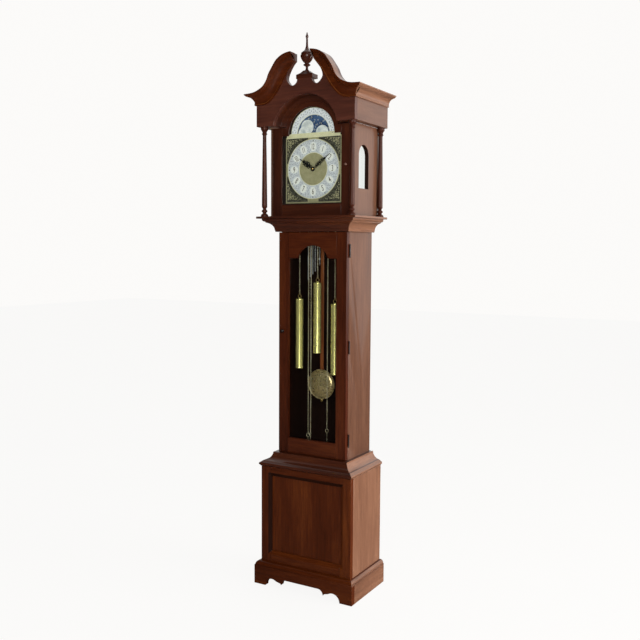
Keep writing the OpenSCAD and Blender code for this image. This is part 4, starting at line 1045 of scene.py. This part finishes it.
# %% Hands
def flat_ring(shape, x, z, outer, inner, segments=24):
    """A flat ring facing the front, in millimetres."""
    made = bmesh.ops.create_circle(shape, segments=segments, radius=outer,
                                   matrix=Matrix.Translation((x, 0, z)) @ UPRIGHT)
    edges = list({edge for corner in made["verts"] for edge in corner.link_edges})
    grown = bmesh.ops.extrude_edge_only(shape, edges=edges)
    ring = [item for item in grown["geom"] if isinstance(item, bmesh.types.BMVert)]
    bmesh.ops.translate(shape, vec=(-x, 0, -z), verts=ring)
    bmesh.ops.scale(shape, vec=(inner / outer, 1, inner / outer), verts=ring)
    bmesh.ops.translate(shape, vec=(x, 0, z), verts=ring)


HAND_DEPTH = {"minute_hand": 0.0035, "hour_hand": 0.0011}
MINUTE_ANGLE, HOUR_ANGLE = 54, 304.5


def hand(node, name, length, width, angle, boss):
    """A serpentine hand drawn upright about the hub and then turned to its angle."""
    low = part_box(node)[0]
    shape = bmesh.new()
    at = lambda share: share * length
    disc(shape, 0, at(0.5), width * 0.34, at(0.5), 0, 20)
    for share, side, size in ((0.17, 1, 1.1), (0.27, -1, 1.25), (0.38, 1, 1.5), (0.5, -1, 1.35),
                              (0.6, 1, 1.0)):
        curl = width * size
        flat_ring(shape, side * curl * 0.62, at(share), curl * 0.75, curl * 0.42)
        disc(shape, side * curl * 0.75, at(share + 0.075), width * 0.36, curl, side * 0.6, 12)
        disc(shape, -side * curl * 0.5, at(share + 0.03), width * 0.3, curl * 0.85, -side * 0.7, 12)
    disc(shape, 0, at(0.7), width * 0.75, at(0.055), 0, 14)
    disc(shape, 0, at(0.86), width * 0.3, at(0.14), 0, 12)
    disc(shape, 0, 0, boss, boss, 0, 32)
    thicken(shape, (0, 0, 0), 1.0)
    place = Matrix.Translation((0, low.y + HAND_DEPTH[node], HUB.z))
    bmesh.ops.transform(shape, matrix=place @ Matrix.Rotation(math.radians(angle), 4, "Y"),
                        verts=shape.verts)
    finish_piece(shape, name, hand_black, node, bevel=0.12)


hand("minute_hand", "minute_hand_scrolls", 94, 4.6, MINUTE_ANGLE, 8)
hand("hour_hand", "hour_hand_scrolls", 72, 5.9, HOUR_ANGLE, 9)
print("hands at", MINUTE_ANGLE, "and", HOUR_ANGLE, "degrees")

# %% Nut, arbor and pipe
nut = ((0, 0), (2.2, 0.1), (4.1, 0.9), (4.6, 1.6), (4.6, 2.4), (2.8, 2.9), (2.8, 29.0),
       (2.4, 29.5), (0, 29.5))
hand_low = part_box("minute_hand")[0]
finish_piece(turned(nut, (0, hand_low.y, HUB.z), "Y", steps=32), "minute_arbor", polished_brass,
             "minute_hand", ("minute_hand",))
hour_low, hour_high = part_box("hour_hand")
pipe_end = (hour_high.y - hour_low.y) / MM
pipe = ((3.1, 0.3), (5.6, 0.3), (5.6, 1.6), (5.0, 1.9), (5.0, pipe_end), (3.1, pipe_end))
finish_piece(turned(pipe, (0, hour_low.y, HUB.z), "Y", steps=32, closed=True), "hour_pipe",
             hand_black, "hour_hand", ("hour_hand",))
print("hour pipe", round(pipe_end, 1), "mm long")

# %% [markdown]
# ## Weights, chains and pendulum
# The three weights are brass tubes closed by turned caps. Each hangs by a hook from a chain of
# bent wire links. One link is modelled once and copied down the run, each turned a quarter from
# the last, as in any chain.

# %% Chain links
LINK_PITCH = 5.6
LINK_WIRE, LINK_REACH, LINK_OVAL = 0.62, 1.9, 1.42


def link_mesh():
    """One oval wire link, upright, centred on the origin."""
    shape = bmesh.new()
    bmesh.ops.create_circle(shape, segments=5, radius=LINK_WIRE,
                            matrix=Matrix.Translation((LINK_REACH, 0, 0)))
    bmesh.ops.spin(shape, geom=shape.verts[:] + shape.edges[:], cent=(0, 0, 0), axis=(0, 1, 0),
                   angle=math.tau, steps=10, use_merge=True)
    bmesh.ops.remove_doubles(shape, verts=shape.verts, dist=1e-4)
    bmesh.ops.scale(shape, vec=(MM, MM, LINK_OVAL * MM), verts=shape.verts)
    bmesh.ops.recalc_face_normals(shape, faces=shape.faces)
    mesh = bpy.data.meshes.new("link")
    shape.to_mesh(mesh)
    shape.free()
    return mesh


one_link = link_mesh()


def chain(x, y, top, bottom):
    """Links from top down to bottom, each a quarter turn from the one above."""
    count = max(2, round((top - bottom) / (LINK_PITCH * MM)))
    pitch = (top - bottom) / count
    places = [Matrix.Translation((x, y, top - pitch * (i + 0.5)))
              @ Matrix.Rotation(math.pi / 4 + math.pi / 2 * (i % 2), 4, "Z") for i in range(count)]
    return moved(one_link, *places)


# %% Chains and their pull rings
SIDES = ("left", "centre", "right")
RING_R, RING_WIRE = 6.5, 1.3
TAIL = {"left": 0.012, "centre": 0.012, "right": 0.034}
ring_section = [(RING_R + RING_WIRE * math.cos(a), RING_WIRE * math.sin(a))
                for a in (math.tau * i / 12 for i in range(12))]
for side in SIDES:
    for kind, body in (("weight_chain", "weight_" + side), ("pull_chain", "chain_ring_" + side)):
        node_name = f"{kind}_{side}"
        low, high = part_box(node_name)
        x, y = (low.x + high.x) / 2, (low.y + high.y) / 2
        mesh = bpy.data.meshes.new(node_name)
        links = chain(x, y, high.z, low.z)
        bmesh.ops.recalc_face_normals(links, faces=links.faces)
        links.to_mesh(mesh)
        links.free()
        mesh.shade_smooth()
        mesh.materials.append(chain_brass)
        piece = bpy.data.objects.new("links_" + node_name, mesh)
        bpy.context.scene.collection.objects.link(piece)
        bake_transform(piece)
        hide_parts(node_name)
    low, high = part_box("chain_ring_" + side)
    middle = (low + high) / 2
    ring = turned(ring_section, middle, "Y", steps=32, closed=True)
    tail = chain(middle.x, middle.y, low.z + MM, low.z - TAIL[side])
    finish_piece(join(ring, tail), "pull_ring_" + side, chain_brass, "chain_ring_" + side,
                 ("chain_ring_" + side,), angle=60)
print("chains", 2 * len(SIDES))

# %% Weights
HOOK_SPACE = 17.6


def tube_outline(tube):
    """Half the outline of a weight: a capped tube with two beads at each end and a neck on top."""
    return ((0, 0), (11.5, 0), (12.5, 0), (14.8, 0.9), (15.5, 2.2), (15.5, 4.2), (15.0, 5.0),
            (15.0, 6.2), (14.9, 7), (14.9, tube - 7), (15.0, tube - 6.2), (15.0, tube - 5.0),
            (15.5, tube - 4.2), (15.5, tube - 2.2), (14.8, tube - 0.9), (12.0, tube),
            (6.5, tube + 0.4), (6.0, tube + 1.2), (4.6, tube + 1.6), (4.6, tube + 3.4),
            (3.2, tube + 4.2), (0, tube + 4.4))


def s_hook():
    """The points of an S-shaped hook whose lower bend holds the loop of a weight."""
    foot = HOOK_SPACE - 1.2
    lower = [(3.4 * math.sin(a), 0.6, foot + 3.4 - 3.4 * math.cos(a))
             for a in (math.radians(d) for d in range(-100, 150, 18))]
    upper = [(-3.0 * math.sin(a), 0.6, foot + 6.6 + 3.2 - 3.0 * math.cos(a))
             for a in (math.radians(d) for d in range(10, 250, 18))]
    return lower + upper


loop = [(7 * math.sin(a), 0, 9 - 7 * math.cos(a)) for a in (math.tau * i / 28 for i in range(28))]
for side in SIDES:
    node_name = "weight_" + side
    low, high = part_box(node_name)
    x, y = (low.x + high.x) / 2, (low.y + high.y) / 2
    tube = (high.z - low.z) / MM - HOOK_SPACE
    finish_piece(turned(tube_outline(tube), (x, y, low.z), steps=64), "brass_" + node_name,
                 tube_brass, node_name, (node_name,))
    for name, mesh in (("loop_", wire([loop], 1.25, closed=True)),
                       ("hook_", wire([s_hook()], 0.9))):
        mesh.transform(Matrix.Translation((x, y, low.z + tube * MM)))
        finish_piece(mesh, name + node_name, old_brass, node_name, angle=60)
    print(node_name, round(tube), "mm long")

# %% [markdown]
# ### Pendulum
# The rod is a varnished wooden lath on a steel suspension spring. The bob is a brass shell, spun
# over a former and chased with a flower whose petals stand up a little from a stippled field.

# %% Bob
bob_low, bob_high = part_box("pendulum_bob")
bob_r = (bob_high.x - bob_low.x) / 2 / MM
bob_t = (bob_high.y - bob_low.y) / MM
BOB = Vector(((bob_low.x + bob_high.x) / 2, bob_low.y, (bob_low.z + bob_high.z) / 2))
DOME_R, DOME_BACK, DOME_RISE = bob_r - 7, bob_t - 4.8, bob_t - 5.6
dome = [(DOME_R * math.cos(math.radians(a)), DOME_BACK - DOME_RISE * math.sin(math.radians(a)))
        for a in range(0, 90, 9)]
shell = ((0, bob_t), (bob_r - 1.2, bob_t), (bob_r, bob_t - 1.2), (bob_r, bob_t - 3.4),
         (bob_r - 1.2, bob_t - 5.2), (bob_r - 3.2, bob_t - 5.6), (bob_r - 4.6, bob_t - 4.4),
         (bob_r - 6.2, bob_t - 4.6), *dome, (0, 0.8))
finish_piece(turned(shell, BOB, "Y", steps=96), "bob_shell", bob_brass, "pendulum_bob",
             ("pendulum_bob",))


def bob_depth(reach):
    """How far behind the front of the bob its domed face lies at a distance from its middle."""
    share = min(1.0, reach / DOME_R)
    return DOME_BACK - DOME_RISE * math.sqrt(1 - share * share)


petals = bmesh.new()
for petal_reach, count, long, wide in ((9, 8, 5.5, 2.2), (21, 12, 7.0, 3.0), (34.5, 18, 6.5, 3.3),
                                       (45.5, 32, 3.0, 1.8)):
    for step in range(count):
        angle = math.tau * (step + 0.5 * (count % 8 == 4)) / count
        place = (Matrix.Rotation(angle, 4, "Y")
                 @ Matrix.Translation((0, bob_depth(petal_reach) + 0.1, petal_reach))
                 @ Matrix.Rotation(-0.011 * petal_reach, 4, "X"))
        bmesh.ops.create_uvsphere(petals, u_segments=12, v_segments=6, radius=1,
                                  matrix=place @ Matrix.Diagonal((wide, 0.75, long, 1)))
bmesh.ops.scale(petals, vec=(MM, MM, MM), verts=petals.verts)
bmesh.ops.translate(petals, vec=BOB, verts=petals.verts)
finish_piece(petals, "bob_flower", bob_brass, "pendulum_bob", angle=60)
print("bob", round(bob_r * 2), "mm across")

# %% Rod, spring and rating nut
rod_low, rod_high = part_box("pendulum_rod")
rod_y = (rod_low.y + rod_high.y) / 2
ROD_TOP = rod_high.z - 0.020
ROD_FOOT = BOB.z - (bob_r - 6) * MM


def bar_of(shape, z, size):
    """Adds a bar of that size, in metres, on the rod's axis with its middle at z."""
    bmesh.ops.create_cube(shape, size=1, matrix=Matrix.Translation((0, rod_y, z))
                          @ Matrix.Diagonal((*size, 1)))


rod = bmesh.new()
bar_of(rod, (ROD_TOP + ROD_FOOT) / 2, (0.014, 0.005, ROD_TOP - ROD_FOOT))
finish_piece(rod, "pendulum_lath", rod_wood, "pendulum_rod", ("pendulum_rod",), bevel=1.1)
spring = bmesh.new()
bar_of(spring, rod_high.z - 0.0105, (0.008, 0.0006, 0.021))
bar_of(spring, ROD_TOP + 0.001, (0.011, 0.0058, 0.008))
finish_piece(spring, "suspension_spring", steel, "pendulum_rod", bevel=0.2)
nut_outline = ((0, 0), (0.9, 0.4), (1.9, 3), (2.0, 4.2), (6.2, 4.4), (7, 5.2), (7, 8.2), (6.2, 9),
               (2.4, 9.2), (2.0, 10), (2.0, 26), (0, 26))
finish_piece(turned(nut_outline, (0, rod_y, rod_low.z), steps=32), "rating_nut", polished_brass,
             "pendulum_rod")
print("rod", round(ROD_TOP - ROD_FOOT, 3), "m long")

# %% [markdown]
# ## The movement and the chimes
# Little of the movement shows past the dial, but it is seen from behind. Its brass plates,
# pillars and wheels keep their CAD shape with broken edges, and the wheels get their teeth.

# %% Brass and steel parts with broken edges
for node_name, material in (("movement_frame", plate_brass), ("pallet_arbor", steel),
                            ("sprocket_left", plate_brass), ("sprocket_centre", plate_brass),
                            ("sprocket_right", plate_brass), ("chime_rods", chime_steel),
                            ("chime_hammers", steel), ("hood_door_fittings", knob_copper),
                            ("hood_hinge_pins", old_brass)):
    finish_piece(merged_copy(node_name), "edged_" + node_name, material, node_name, (node_name,),
                 bevel=0.2)
print("movement's edges broken")


# %% Wheel teeth
TEETH, WHEEL_T = 60, 1.6
WHEEL_BEHIND = {"left": 8.8, "centre": 12.8, "right": 8.8}


def teeth(node, count):
    """A ring of pointed teeth round the great wheel of a sprocket."""
    low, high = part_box(node)
    x, z = (low.x + high.x) / 2, (low.z + high.z) / 2
    shape = bmesh.new()
    radius = (high.x - low.x) / 2 / MM
    flat_ring(shape, 0, 0, radius, radius - 4, count * 4)
    rim = [corner for corner in shape.verts if corner.co.length > radius - 2]
    rim.sort(key=lambda corner: math.atan2(corner.co.z, corner.co.x))
    for index, corner in enumerate(rim):
        if index % 4 < 2:
            corner.co *= 1 - 1.7 / radius
    return thicken(shape, (x, 0, z), WHEEL_T)


for side in SIDES:
    low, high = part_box("weight_chain_" + side)
    shape = teeth("sprocket_" + side, TEETH)
    bmesh.ops.translate(shape, vec=(0, (low.y + high.y) / 2 + WHEEL_BEHIND[side] * MM, 0),
                        verts=shape.verts)
    finish_piece(shape, "wheel_teeth_" + side, plate_brass, "sprocket_" + side, bevel=0)
print("wheels", len(SIDES), "of", TEETH, "teeth")

# %% [markdown]
# ## Last finishes
# The night-sky disc and the panes are right as the CAD model has them, flat sheets with clean
# edges, so they keep their own meshes and only get a finish.

# %% Sky disc and panes
for node_name, finish in (("moon_disc", night_sky), ("waist_door_glass", glass),
                          ("hood_door_glass", glass), ("side_window_glass", glass)):
    nodes[node_name].data.materials.clear()
    nodes[node_name].data.materials.append(finish)
print("panes glazed")
